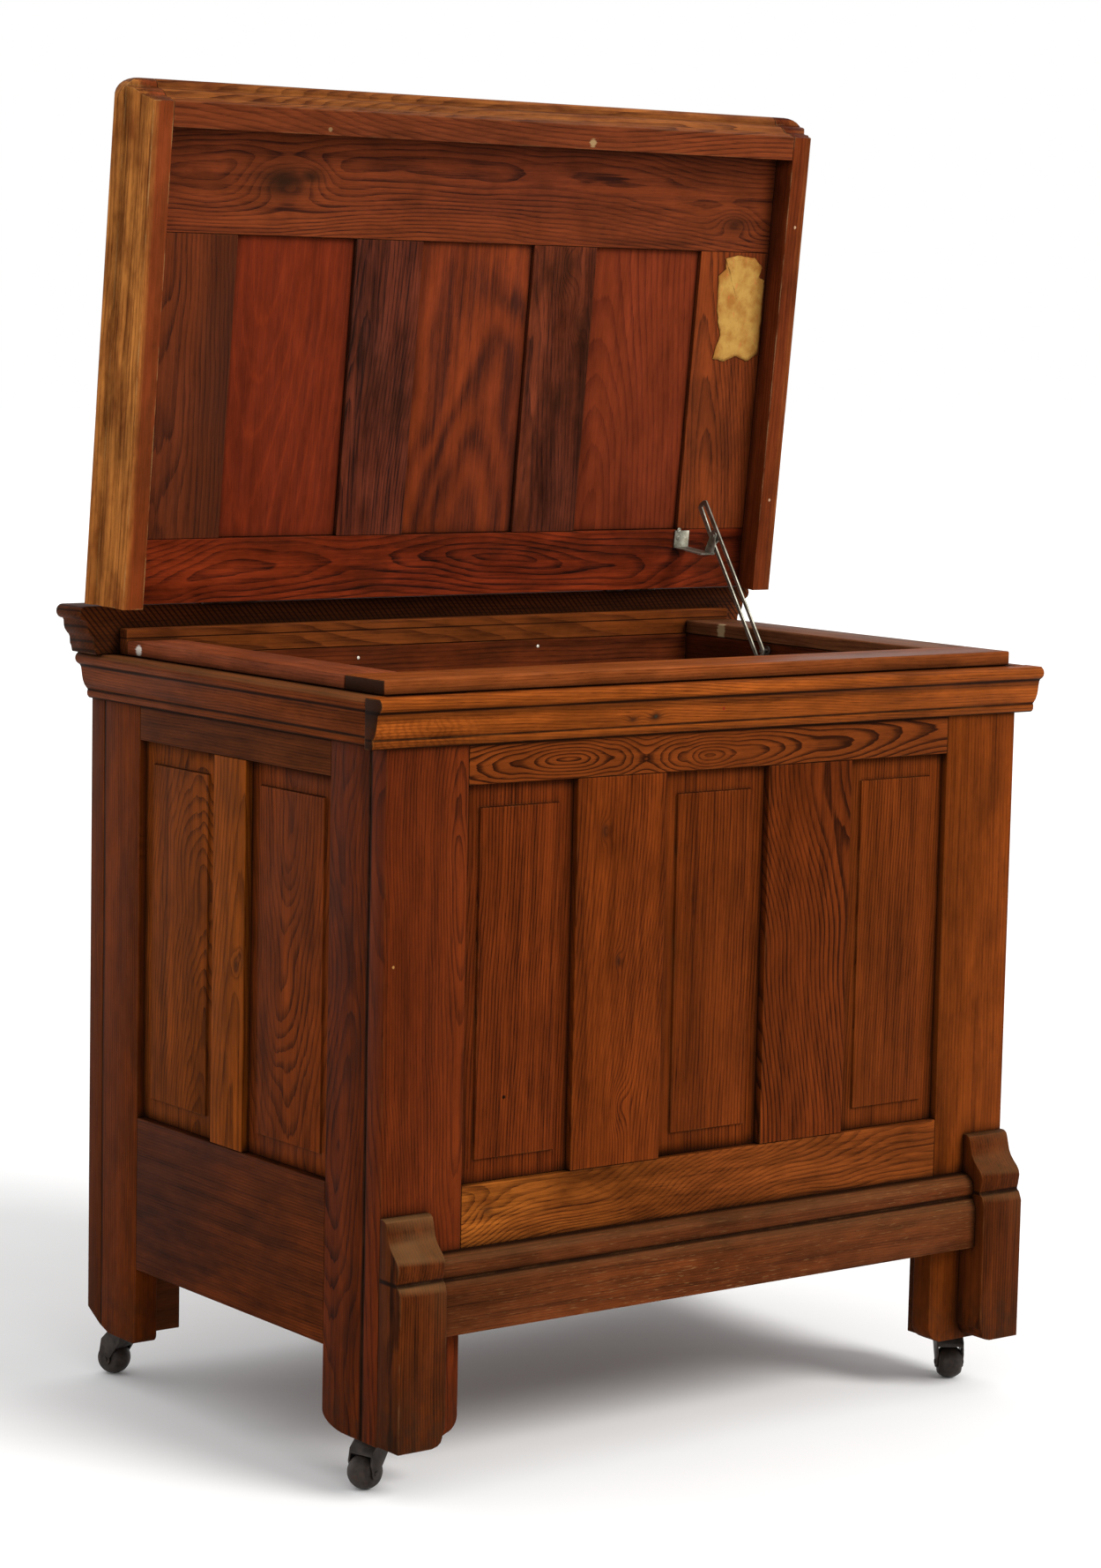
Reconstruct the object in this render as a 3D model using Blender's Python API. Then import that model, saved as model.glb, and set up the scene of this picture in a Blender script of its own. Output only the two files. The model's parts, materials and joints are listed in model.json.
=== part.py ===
"""Antique chest icebox: framed-and-panelled case on casters, hinged moulded lid standing open.

Plan frame: +X is the right-hand side, -Y is the front, +Z is up, the floor is Z = 0.
Lengths are in metres.  Positions below are measured from the case's front left corner
and shifted to the middle of the piece by CENTRE_X and CENTRE_Y.
"""
import math

import bmesh
import bpy
from mathutils import Matrix, Vector

# ---------------------------------------------------------------- driving dimensions
WIDTH = 0.900            # case, outside of the side frames
DEPTH = 0.610            # case, front face to back face
CENTRE_X = WIDTH / 2
CENTRE_Y = 0.28475       # middle of the overall footprint
GAP = 0.0003             # fit between touching pieces
EASE = 0.0008            # softened edge on sawn boards

FOOT_Z = 0.058           # underside of the feet
CASE_TOP = 0.8632        # top of the framed case
CORNICE_LOW = 0.8087     # bottom bead of the cornice
CORNICE_TOP = 0.8637
COAMING_TOP = 0.8805     # raised rim round the mouth
STOP_TOP = 0.8942        # rear stop board the lid rests on
STRIP_TOP = 0.9200       # top of the fixed rear strip
TOP_Z = 0.9207           # top of the closed lid

FRAME_T = 0.0295         # thickness of the case frames
STILE_W = 0.106          # front stiles
BACK_STILE_W = 0.0850    # back stiles
MUNTIN_W = 0.1235        # front muntins
F_RAIL_LOW, F_RAIL_HIGH = 0.330, 0.765      # front panel opening, bottom and top
S_RAIL_LOW, S_RAIL_HIGH = 0.3284, 0.7695    # side panel openings
SIDE_RAIL_BOTTOM = 0.148
FRONT_RAIL_BOTTOM = 0.1745
SIDE_EDGES = (0.0300, 0.1060, 0.2744, 0.3406, 0.5000, 0.5800)
PANEL_FLOOR, PANEL_FIELD, PANEL_BACK = 0.0090, 0.0058, 0.0190
FIELD_SIDE, FIELD_END = 0.0195, 0.0250      # flat margin round each raised field

BLOCK_W = 0.061          # plinth blocks on the front feet
BASE_BOTTOM = 0.1755     # moulded base board
CORNICE_OUT = 0.0235
LID_OUT = 0.0505         # how far the lid's nose stands outside the case sides
STRIP_OUT = 0.0490       # the same for the rear strip
LID_REAR = 0.5466        # rear edge of the closed lid
LID_LENGTH = 0.5955
LID_DROP = 0.0560        # skirt depth below the lid's top face
LID_FRAME_T = 0.0257     # thickness of the lid's framed top
SKIRT_X = 0.0022         # inner face of the side skirts, outside the case side
SKIRT_FRONT_T = 0.0290
LID_OPEN = math.radians(84.13)
HINGE_Y, HINGE_Z = 0.5500, 0.9225
HINGE_W, HINGE_REACH = 0.0750, 0.0330
STRIP_FRONT = 0.5545

THROAT = (0.0720, 0.8280, 0.0850, 0.5347)   # mouth of the chest: x0, x1, y0, y1
THROAT_LOW = 0.8000
TUB_FLOOR = 0.2105

WHEEL_R, WHEEL_W, BORE_R, AXLE_R = 0.0195, 0.0280, 0.0036, 0.0030
TRAIL = 0.0155
CASTERS = (
    ("front_left", 0.0305, 0.0480, 196.6),
    ("front_right", 0.8695, 0.0480, 238.0),
    ("rear_left", 0.0305, 0.5760, 107.5),
    ("rear_right", 0.8695, 0.5760, 128.0),
)
STAY_Q = (0.4630, 0.9922)   # pivot on the open lid, in y and z
STAY_P = (0.3708, 0.8548)   # fixed pin on the right-hand wall
STAY_X = (0.8130, 0.8150)   # the two faces of the flat arm
STAY_ABOVE = 0.0500         # arm standing above its pivot


# ---------------------------------------------------------------- helpers
def clear_scene():
    for ob in list(bpy.data.objects):
        bpy.data.objects.remove(ob, do_unlink=True)
    for mesh in list(bpy.data.meshes):
        bpy.data.meshes.remove(mesh)


def material(name, colour, roughness, metallic):
    mat = bpy.data.materials.new(name)
    mat.use_nodes = True
    shader = mat.node_tree.nodes["Principled BSDF"]
    shader.inputs["Base Color"].default_value = (*colour, 1.0)
    shader.inputs["Roughness"].default_value = roughness
    shader.inputs["Metallic"].default_value = metallic
    return mat


def tint(colour, name):
    """A small repeatable shade difference per board."""
    step = (sum(ord(c) * (i + 3) for i, c in enumerate(name)) % 17 - 8) / 100.0
    return tuple(max(0.0, min(1.0, c * (1.0 + step))) for c in colour)


def finish(name, bm, kind, smooth=False):
    bmesh.ops.remove_doubles(bm, verts=bm.verts, dist=1e-6)
    bmesh.ops.recalc_face_normals(bm, faces=bm.faces)
    mesh = bpy.data.meshes.new(name)
    bm.to_mesh(mesh)
    bm.free()
    for poly in mesh.polygons:
        poly.use_smooth = smooth
    ob = bpy.data.objects.new(name, mesh)
    bpy.context.scene.collection.objects.link(ob)
    colour, roughness, metallic = FINISHES[kind]
    mesh.materials.append(material("mat_" + name, tint(colour, name), roughness, metallic))
    return ob


def box_mesh(x0, x1, y0, y1, z0, z1, ease=EASE):
    bm = bmesh.new()
    bmesh.ops.create_cube(bm, size=1.0)
    for v in bm.verts:
        v.co.x = x1 if v.co.x > 0 else x0
        v.co.y = y1 if v.co.y > 0 else y0
        v.co.z = z1 if v.co.z > 0 else z0
    if ease > 0:
        bmesh.ops.bevel(bm, geom=list(bm.edges), offset=ease, segments=1, affect="EDGES")
    return bm


def box(name, kind, x0, x1, y0, y1, z0, z1, ease=EASE):
    return finish(name, box_mesh(x0, x1, y0, y1, z0, z1, ease), kind)


def prism_mesh(points, axis, low, high):
    """Extrude a closed outline along an axis; points give the other two coordinates."""
    bm = bmesh.new()
    rings = []
    for level in (low, high):
        ring = []
        for u, v in points:
            if axis == "x":
                ring.append(bm.verts.new((level, u, v)))
            elif axis == "y":
                ring.append(bm.verts.new((u, level, v)))
            else:
                ring.append(bm.verts.new((u, v, level)))
        rings.append(ring)
    count = len(points)
    bm.faces.new(rings[0])
    bm.faces.new(rings[1])
    for i in range(count):
        j = (i + 1) % count
        bm.faces.new((rings[0][i], rings[0][j], rings[1][j], rings[1][i]))
    bmesh.ops.recalc_face_normals(bm, faces=bm.faces)
    return bm


def prism(name, kind, points, axis, low, high):
    return finish(name, prism_mesh(points, axis, low, high), kind)


def lathe_mesh(outline, steps, axis="z"):
    """Turn a closed (radius, height) outline round an axis; radii stay above zero."""
    bm = bmesh.new()
    rings = []
    for i in range(steps):
        a = 2 * math.pi * i / steps
        ring = []
        for r, h in outline:
            if axis == "z":
                ring.append(bm.verts.new((r * math.cos(a), r * math.sin(a), h)))
            else:
                ring.append(bm.verts.new((h, r * math.cos(a), r * math.sin(a))))
        rings.append(ring)
    count = len(outline)
    for i in range(steps):
        k = (i + 1) % steps
        for j in range(count):
            m = (j + 1) % count
            bm.faces.new((rings[i][j], rings[i][m], rings[k][m], rings[k][j]))
    bmesh.ops.recalc_face_normals(bm, faces=bm.faces)
    return bm


def rod_mesh(radius, low, high, axis, centre, steps=20):
    """A solid round bar along x or z through the centre point."""
    points = [(radius * math.cos(2 * math.pi * i / steps), radius * math.sin(2 * math.pi * i / steps))
              for i in range(steps)]
    bm = prism_mesh(points, axis, low, high)
    shift = Vector((0.0, centre[0], centre[1])) if axis == "x" else Vector((centre[0], centre[1], 0.0))
    bmesh.ops.translate(bm, verts=bm.verts, vec=shift)
    return bm


def arc(cx, cz, rx, rz, start, end, steps):
    """Points on an ellipse arc, angles in degrees."""
    out = []
    for i in range(steps + 1):
        a = math.radians(start + (end - start) * i / steps)
        out.append((cx + rx * math.cos(a), cz + rz * math.sin(a)))
    return out


def combine(ob, tools, operation):
    """Apply a run of exact Booleans to an object; each tool is a bmesh."""
    for i, bm in enumerate(tools):
        mesh = bpy.data.meshes.new("tool_%s_%d" % (ob.name, i))
        bm.to_mesh(mesh)
        bm.free()
        tool = bpy.data.objects.new(mesh.name, mesh)
        bpy.context.scene.collection.objects.link(tool)
        mod = ob.modifiers.new("cut", "BOOLEAN")
        mod.operation = operation
        mod.solver = "EXACT"
        mod.object = tool
        graph = bpy.context.evaluated_depsgraph_get()
        result = bpy.data.meshes.new_from_object(ob.evaluated_get(graph))
        ob.modifiers.clear()
        old = ob.data
        ob.data = result
        bpy.data.meshes.remove(old)
        bpy.data.objects.remove(tool, do_unlink=True)
        bpy.data.meshes.remove(mesh)
    return ob


def mirror_x(points):
    return [(WIDTH - u, v) for u, v in points]


# ---------------------------------------------------------------- case frames
def foot_outline(x0, x1, top):
    """Front or back stile: straight outside, rounded lower corner on the free inner edge."""
    curve = arc(x1 - 0.018, FOOT_Z + 0.0205, 0.018, 0.0190, 0, -90, 7)
    return [(x0, top), (x0, FOOT_Z), (x1 - 0.018, FOOT_Z)] + curve[::-1][1:] + [(x1, top)]


def side_foot_outline():
    """Front stile of a side frame in y and z, its rear lower corner swept up."""
    y0, y1 = SIDE_EDGES[0], SIDE_EDGES[1] - GAP
    curve = arc(y1 - 0.046, FOOT_Z + 0.0185, 0.046, 0.0185, -90, 0, 9)
    return [(y0, CASE_TOP), (y0, FOOT_Z)] + curve + [(y1, CASE_TOP)]


def side_rear_outline():
    y0, y1 = SIDE_EDGES[4] + GAP, SIDE_EDGES[5]
    front = arc(y0 + 0.007, FOOT_Z + 0.008, 0.007, 0.008, 180, 270, 4)
    return [(y0, CASE_TOP)] + front + [(y1 - 0.018, FOOT_Z), (y1, FOOT_Z + 0.006), (y1, CASE_TOP)]


def raised_panel(name, kind, axis, u0, u1, z0, z1, face):
    """Panel with a raised square-edged field; face(depth) gives the plane it is measured from."""
    u0, u1, z0, z1 = u0 + GAP, u1 - GAP, z0 + GAP, z1 - GAP
    fu0, fu1 = u0 + FIELD_SIDE, u1 - FIELD_SIDE
    fz0, fz1 = z0 + FIELD_END, z1 - FIELD_END
    slope = 0.0008
    rings = (
        ((u0, u1, z0, z1), PANEL_BACK),
        ((u0, u1, z0, z1), PANEL_FLOOR),
        ((fu0, fu1, fz0, fz1), PANEL_FLOOR),
        ((fu0 + slope, fu1 - slope, fz0 + slope, fz1 - slope), PANEL_FIELD),
    )
    bm = bmesh.new()
    loops = []
    for (a0, a1, c0, c1), depth in rings:
        loop = []
        for u, z in ((a0, c0), (a1, c0), (a1, c1), (a0, c1)):
            d = face(depth)
            loop.append(bm.verts.new((u, d, z) if axis == "y" else (d, u, z)))
        loops.append(loop)
    bm.faces.new(loops[0])
    bm.faces.new(loops[-1])
    for low, high in zip(loops, loops[1:]):
        for i in range(4):
            j = (i + 1) % 4
            bm.faces.new((low[i], low[j], high[j], high[i]))
    return finish(name, bm, kind)


def build_front():
    for name, flip in (("stile_front_left", False), ("stile_front_right", True)):
        points = foot_outline(0.0, STILE_W, CASE_TOP)
        prism(name, "wood", mirror_x(points) if flip else points, "y", 0.0, FRAME_T)
    left, right = STILE_W + GAP, WIDTH - STILE_W - GAP
    box("rail_front_top", "wood", left, right, 0.0, FRAME_T, F_RAIL_HIGH, CASE_TOP)
    box("rail_front_bottom", "wood", left, right, 0.0, FRAME_T, FRONT_RAIL_BOTTOM, F_RAIL_LOW)
    bay = (WIDTH - 2 * STILE_W - 2 * MUNTIN_W) / 3
    x = STILE_W
    for i in range(3):
        raised_panel("panel_front_%d" % (i + 1), "wood_mid", "y", x, x + bay,
                     F_RAIL_LOW, F_RAIL_HIGH, lambda d: d)
        x += bay
        if i < 2:
            box("muntin_front_%d" % (i + 1), "wood", x, x + MUNTIN_W, 0.0, FRAME_T,
                F_RAIL_LOW + GAP, F_RAIL_HIGH - GAP)
            x += MUNTIN_W


def build_left_side():
    e = SIDE_EDGES
    prism("stile_left_front", "wood_dark", side_foot_outline(), "x", 0.0, FRAME_T)
    prism("stile_left_rear", "wood", side_rear_outline(), "x", 0.0, FRAME_T)
    box("rail_left_top", "wood_dark", 0.0, FRAME_T, e[1], e[4], S_RAIL_HIGH, CASE_TOP)
    box("rail_left_bottom", "wood_dark", 0.0, FRAME_T, e[1], e[4], SIDE_RAIL_BOTTOM, S_RAIL_LOW)
    box("muntin_left", "wood", 0.0, FRAME_T, e[2], e[3], S_RAIL_LOW + GAP, S_RAIL_HIGH - GAP)
    raised_panel("panel_left_front", "wood_mid", "x", e[1] - GAP, e[2], S_RAIL_LOW, S_RAIL_HIGH,
                 lambda d: d)
    raised_panel("panel_left_rear", "wood_mid", "x", e[3], e[4] + GAP, S_RAIL_LOW, S_RAIL_HIGH,
                 lambda d: d)


def build_right_side():
    """The far side is one glued frame with two loose panels."""
    e = SIDE_EDGES
    x0, x1 = WIDTH - FRAME_T, WIDTH
    front = [(y, z) for y, z in side_foot_outline()]
    rear = [(y, z) for y, z in side_rear_outline()]
    frame = prism("frame_right", "wood", front, "x", x0, x1)
    overlap = 0.002
    parts = [
        prism_mesh(rear, "x", x0, x1),
        box_mesh(x0, x1, e[1] - overlap, e[4] + overlap, S_RAIL_HIGH, CASE_TOP, 0),
        box_mesh(x0, x1, e[1] - overlap, e[4] + overlap, SIDE_RAIL_BOTTOM, S_RAIL_LOW, 0),
        box_mesh(x0, x1, e[2], e[3], S_RAIL_LOW - overlap, S_RAIL_HIGH + overlap, 0),
    ]
    combine(frame, parts, "UNION")
    raised_panel("panel_right_front", "wood_mid", "x", e[1] - GAP, e[2], S_RAIL_LOW, S_RAIL_HIGH,
                 lambda d: WIDTH - d)
    raised_panel("panel_right_rear", "wood_mid", "x", e[3], e[4] + GAP, S_RAIL_LOW, S_RAIL_HIGH,
                 lambda d: WIDTH - d)


def build_back():
    """Back stiles form the rear feet, chamfered underneath, with one plain back board."""
    y0, y1 = SIDE_EDGES[5] + GAP, DEPTH
    for name, flip in (("stile_back_left", False), ("stile_back_right", True)):
        points = foot_outline(0.0, BACK_STILE_W, CASE_TOP)
        ob = prism(name, "wood_dark", mirror_x(points) if flip else points, "y", y0, y1)
        wedge = [(y0 - 0.01, FOOT_Z - 0.01), (y0 - 0.01, FOOT_Z), (y1 + 0.01, FOOT_Z + 0.0285),
                 (y1 + 0.01, FOOT_Z - 0.01)]
        combine(ob, [prism_mesh(wedge, "x", -0.02, WIDTH + 0.02)], "DIFFERENCE")
    box("back_board", "wood_dark", BACK_STILE_W + GAP, WIDTH - BACK_STILE_W - GAP, y0 + 0.004, y1 - 0.006,
        SIDE_RAIL_BOTTOM, CASE_TOP)


# ---------------------------------------------------------------- base, cornice, coaming
def build_base():
    profile = [(-GAP, 0.2625), (-0.0060, 0.2625), (-0.0130, 0.2605), (-0.0185, 0.2565), (-0.0215, 0.2505),
               (-0.0222, 0.2445), (-0.0205, 0.2390), (-0.0185, 0.2365), (-0.0185, 0.2350),
               (-0.0215, 0.2335), (-0.0270, 0.2235), (-0.0270, BASE_BOTTOM), (-GAP, BASE_BOTTOM)]
    prism("base_board", "wood", profile, "x", BLOCK_W + GAP, WIDTH - BLOCK_W - GAP)
    block = [(-GAP, 0.3080), (-0.0065, 0.3080), (-0.0110, 0.3055), (-0.0133, 0.3000), (-0.0150, 0.2935),
             (-0.0172, 0.2855), (-0.0205, 0.2795), (-0.0255, 0.2740), (-0.0310, 0.2690), (-0.0347, 0.2640),
             (-0.0362, 0.2585),
             (-0.0345, 0.2480), (-0.0330, 0.2425), (-0.0330, 0.2405), (-0.0365, 0.2380), (-0.0405, 0.2285),
             (-0.0405, FOOT_Z), (-GAP, FOOT_Z)]
    for name, x0, flip in (("plinth_block_left", 0.0, False), ("plinth_block_right", WIDTH - BLOCK_W, True)):
        ob = prism(name, "wood", block, "x", x0, x0 + BLOCK_W)
        low = FOOT_Z + (0.0050 if flip else 0.0015)
        sweep = [(-0.010, FOOT_Z - 0.002), (-0.010, low), (0.044, low), (0.0515, low + 0.0020),
                 (0.0560, low + 0.0055), (0.0580, low + 0.0110), (0.0590, FOOT_Z + 0.0200),
                 (0.070, FOOT_Z + 0.0200), (0.070, FOOT_Z - 0.002)]
        points = mirror_x(sweep) if flip else sweep
        combine(ob, [prism_mesh(points, "y", -0.06, 0.02)], "DIFFERENCE")


def cornice_outline(back):
    """Section from the case face outwards: rounded nosing, undercut, cove, bottom bead."""
    out = [(back, CORNICE_TOP), (0.0190, CORNICE_TOP)]
    out += arc(0.0175, 0.8562, 0.0060, 0.0068, 62, -62, 6)
    out += [(0.0170, 0.8480), (0.0158, 0.8458), (0.0150, 0.8420), (0.0142, 0.8360), (0.0130, 0.8300),
            (0.0108, 0.8245), (0.0078, 0.8205), (0.0062, 0.8188), (0.0072, 0.8165), (0.0070, 0.8125),
            (0.0052, 0.8095), (0.0030, CORNICE_LOW), (back, CORNICE_LOW)]
    return out


def build_cornice():
    section = [(-c, z) for c, z in cornice_outline(-0.0085)]
    front = prism("cornice_front", "wood_gold", section, "x", -CORNICE_OUT, WIDTH + CORNICE_OUT)
    combine(front, [box_mesh(-GAP, WIDTH + GAP, -GAP, 0.05, 0.70, 0.95, 0)], "DIFFERENCE")
    side = cornice_outline(GAP)
    prism("cornice_left", "wood", [(-c, z) for c, z in side], "y", 0.0085 + GAP, DEPTH)
    prism("cornice_right", "wood", [(WIDTH + c, z) for c, z in side], "y", 0.0085 + GAP, DEPTH)


def build_coaming():
    x0, x1, y0, y1 = THROAT
    low = CORNICE_TOP
    box("coaming_front", "wood", 0.002, WIDTH - 0.002, 0.0100, y0, low, COAMING_TOP, 0.0014)
    box("coaming_left", "wood", 0.002, x0, y0 + GAP, y1, low, COAMING_TOP, 0.0014)
    box("coaming_right", "wood", x1, WIDTH - 0.002, y0 + GAP, y1, low, COAMING_TOP, 0.0014)
    box("stop_board_rear", "wood_gold", 0.002, WIDTH - 0.002, y1 + GAP, 0.5512, low, STOP_TOP, 0.0010)


def moulded_edge(out, top, base):
    """Edge of the lid and of the rear strip, top to bottom: outward offset and height."""
    nose = arc(out - 0.0078, top - 0.0082, 0.0078, 0.0082, 90, -70, 7)
    cyma = ((0.0085, 0.0165), (0.0098, 0.0190), (0.0102, 0.0250), (0.0112, 0.0290), (0.0140, 0.0330),
            (0.0168, 0.0360), (0.0180, 0.0390), (0.0185, 0.0465), (0.0200, 0.0490))
    return nose + [(out - inset, top - drop) for inset, drop in cyma] + [(out - 0.0215, base)]


def moulded_section(out, top, base):
    """Whole width of the lid or strip: left edge down, right edge up."""
    edge = moulded_edge(out, top, base)
    return [(-c, z) for c, z in edge] + [(WIDTH + c, z) for c, z in reversed(edge)]


def build_rear_strip():
    section = moulded_section(STRIP_OUT, STRIP_TOP, CORNICE_TOP + GAP)
    prism("rear_strip", "wood", section, "y", STRIP_FRONT, DEPTH)


# ---------------------------------------------------------------- inside
def build_inside():
    x0, x1, y0, y1 = THROAT
    throat = box("throat_band", "wood_red", 0.0300, 0.8700, 0.0300, 0.5800, THROAT_LOW, CASE_TOP + 0.0002, 0)
    combine(throat, [box_mesh(x0, x1, y0, y1, 0.7, 1.0, 0)], "DIFFERENCE")
    tub = box("liner_tub", "zinc", x0 - 0.0018, x1 + 0.0018, y0 - 0.0018, y1 + 0.0018,
              TUB_FLOOR, THROAT_LOW - GAP, 0)
    wall = 0.0015
    hollow = box_mesh(x0 - 0.0018 + wall, x1 + 0.0018 - wall, y0 - 0.0018 + wall, y1 + 0.0018 - wall,
                      TUB_FLOOR + wall, 0.95, 0)
    drain = (0.450, 0.310)
    combine(tub, [hollow, rod_mesh(0.0131, 0.1, 0.3, "z", drain, 24)], "DIFFERENCE")
    floor = box("bottom_board", "wood_dark", 0.0300, 0.8700, 0.0300, 0.5800, 0.1900, TUB_FLOOR - GAP, 0)
    posts = []
    for px in (0.0300, 0.8150):
        for py, depth in ((0.0300, 0.0300), (0.5400, 0.0400)):
            posts.append(box_mesh(px, px + 0.0550, py, py + depth, FOOT_Z, 0.1920, 0))
    combine(floor, posts, "UNION")
    combine(floor, [rod_mesh(0.0131, 0.1, 0.3, "z", drain, 24)], "DIFFERENCE")
    top = TUB_FLOOR + wall + GAP
    outline = [(0.0105, 0.1200), (0.0125, 0.1200), (0.0125, top), (0.0200, top), (0.0200, top + 0.0015),
               (0.0115, top + 0.0015), (0.0105, top + 0.0005)]
    bm = lathe_mesh(outline, 24)
    bmesh.ops.translate(bm, verts=bm.verts, vec=Vector((drain[0], drain[1], 0.0)))
    finish("drain_tube", bm, "zinc", True)


# ---------------------------------------------------------------- lid (drawn closed, then swung open)
LID_PANELS = ((0.1120, 0.2760), (0.3710, 0.5350), (0.6300, 0.7940))
LID_RAIL_REAR, LID_RAIL_FRONT = 0.0755, 0.4265


def lid_y(s):
    return LID_REAR - s


def lid_block():
    """Whole moulded lid volume: side profile and front profile crossed, plan corners rounded."""
    base = TOP_Z - LID_DROP
    section = moulded_section(LID_OUT, TOP_Z, base)
    ob = prism("lid_block", "wood", section, "y", lid_y(LID_LENGTH) - 0.05, LID_REAR)
    nose_y = lid_y(LID_LENGTH) + LID_OUT
    front = [(nose_y - c, z) for c, z in moulded_edge(LID_OUT, TOP_Z, base)]
    front += [(LID_REAR + 0.02, base), (LID_REAR + 0.02, TOP_Z)]
    radius = 0.030
    x0, x1 = -LID_OUT - 0.0001, WIDTH + LID_OUT + 0.0001
    y0 = lid_y(LID_LENGTH) - 0.0001
    plan = [(x0, LID_REAR + 0.02)] + arc(x0 + radius, y0 + radius, radius, radius, 180, 270, 8)
    plan += arc(x1 - radius, y0 + radius, radius, radius, 270, 360, 8) + [(x1, LID_REAR + 0.02)]
    combine(ob, [prism_mesh(front, "x", -0.1, WIDTH + 0.1), prism_mesh(plan, "z", 0.80, 0.95)], "INTERSECT")
    return ob


def build_lid():
    base = TOP_Z - LID_DROP
    inner_x0, inner_x1 = -SKIRT_X, WIDTH + SKIRT_X
    inner_y = lid_y(LID_LENGTH) + 0.0215 + SKIRT_FRONT_T
    block = lid_block()
    far = 0.2
    cuts = {
        "lid_rim_left": box_mesh(-far, inner_x0 - GAP, -far, LID_REAR + 0.01, base - 0.01, TOP_Z + 0.01, 0),
        "lid_rim_right": box_mesh(inner_x1 + GAP, WIDTH + far, -far, LID_REAR + 0.01,
                                  base - 0.01, TOP_Z + 0.01, 0),
        "lid_rim_front": box_mesh(inner_x0, inner_x1, -far, inner_y - GAP, base - 0.01, TOP_Z + 0.01, 0),
    }
    made = []
    for name, tool in cuts.items():
        bm = bmesh.new()
        bm.from_mesh(block.data)
        ob = finish(name, bm, "wood")
        made.append(combine(ob, [tool], "INTERSECT"))
    mesh = block.data
    bpy.data.objects.remove(block, do_unlink=True)
    bpy.data.meshes.remove(mesh)

    under = TOP_Z - LID_FRAME_T
    frame = box("lid_frame", "wood_red", inner_x0, inner_x1, inner_y, LID_REAR, under, TOP_Z, 0)
    windows = []
    for x0, x1 in LID_PANELS:
        windows.append(box_mesh(x0, x1, lid_y(LID_RAIL_FRONT), lid_y(LID_RAIL_REAR), 0.8, 1.0, 0))
    combine(frame, windows, "DIFFERENCE")
    made.append(frame)
    for i, (x0, x1) in enumerate(LID_PANELS):
        made.append(box("lid_panel_%d" % (i + 1), "wood_red", x0 + GAP, x1 - GAP,
                        lid_y(LID_RAIL_FRONT) + GAP, lid_y(LID_RAIL_REAR) - GAP,
                        under + 0.0055, TOP_Z - 0.0040, 0.0006))
    label = [(0.826, 0.292), (0.845, 0.289), (0.862, 0.296), (0.884, 0.290), (0.8985, 0.300), (0.8990, 0.352),
             (0.8990, 0.392), (0.8900, 0.396), (0.8935, 0.408), (0.8800, 0.420), (0.8520, 0.4225),
             (0.8330, 0.418), (0.8350, 0.405), (0.8240, 0.396), (0.8270, 0.350), (0.8350, 0.322)]
    made.append(prism("lid_label", "paper", [(x, lid_y(s)) for x, s in label], "z",
                      under - 0.0007, under - GAP))
    return made


def rotate_about_hinge(obs, angle):
    pivot = Vector((0.0, HINGE_Y, HINGE_Z))
    turn = Matrix.Translation(pivot) @ Matrix.Rotation(-angle, 4, "X") @ Matrix.Translation(-pivot)
    for ob in obs:
        ob.data.transform(turn)


def closed_point(y, z):
    """Where a point of the open lid lies once the lid is shut."""
    dy, dz = y - HINGE_Y, z - HINGE_Z
    c, s = math.cos(LID_OPEN), math.sin(LID_OPEN)
    return HINGE_Y + dy * c - dz * s, HINGE_Z + dy * s + dz * c


def build_hinges():
    """Two surface hinges, their leaves flat on top of the rear strip and of the closed lid."""
    moving = []
    knuckle, pin, leaf = 0.0034, 0.0016, 0.0012
    room = knuckle + 0.0008
    for i, centre in enumerate((0.150, 0.750)):
        x0, x1 = centre - HINGE_W / 2, centre + HINGE_W / 2
        k0, k1 = centre - HINGE_W / 6, centre + HINGE_W / 6
        low = STRIP_TOP + GAP
        fixed = box("hinge_%d_fixed_leaf" % (i + 1), "steel", x0, x1, HINGE_Y, HINGE_Y + HINGE_REACH,
                    low, low + leaf, 0)
        combine(fixed, [box_mesh(k0 - GAP, k1 + GAP, 0.54, HINGE_Y + room, 0.90, 0.94, 0)], "DIFFERENCE")
        combine(fixed, [rod_mesh(knuckle, x0, k0 - GAP, "x", (HINGE_Y, HINGE_Z)),
                        rod_mesh(knuckle, k1 + GAP, x1, "x", (HINGE_Y, HINGE_Z)),
                        rod_mesh(pin, x0 + 0.002, x1 - 0.002, "x", (HINGE_Y, HINGE_Z))], "UNION")
        low = TOP_Z + GAP
        swing = box("hinge_%d_lid_leaf" % (i + 1), "steel", x0, x1, HINGE_Y - HINGE_REACH, HINGE_Y,
                    low, low + leaf, 0)
        combine(swing, [box_mesh(x0 - 0.01, k0, HINGE_Y - room, 0.56, 0.90, 0.94, 0),
                        box_mesh(k1, x1 + 0.01, HINGE_Y - room, 0.56, 0.90, 0.94, 0)], "DIFFERENCE")
        combine(swing, [rod_mesh(knuckle, k0, k1, "x", (HINGE_Y, HINGE_Z))], "UNION")
        combine(swing, [rod_mesh(pin + GAP, k0 - 0.01, k1 + 0.01, "x", (HINGE_Y, HINGE_Z))], "DIFFERENCE")
        moving.append(swing)
    return moving


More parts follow.
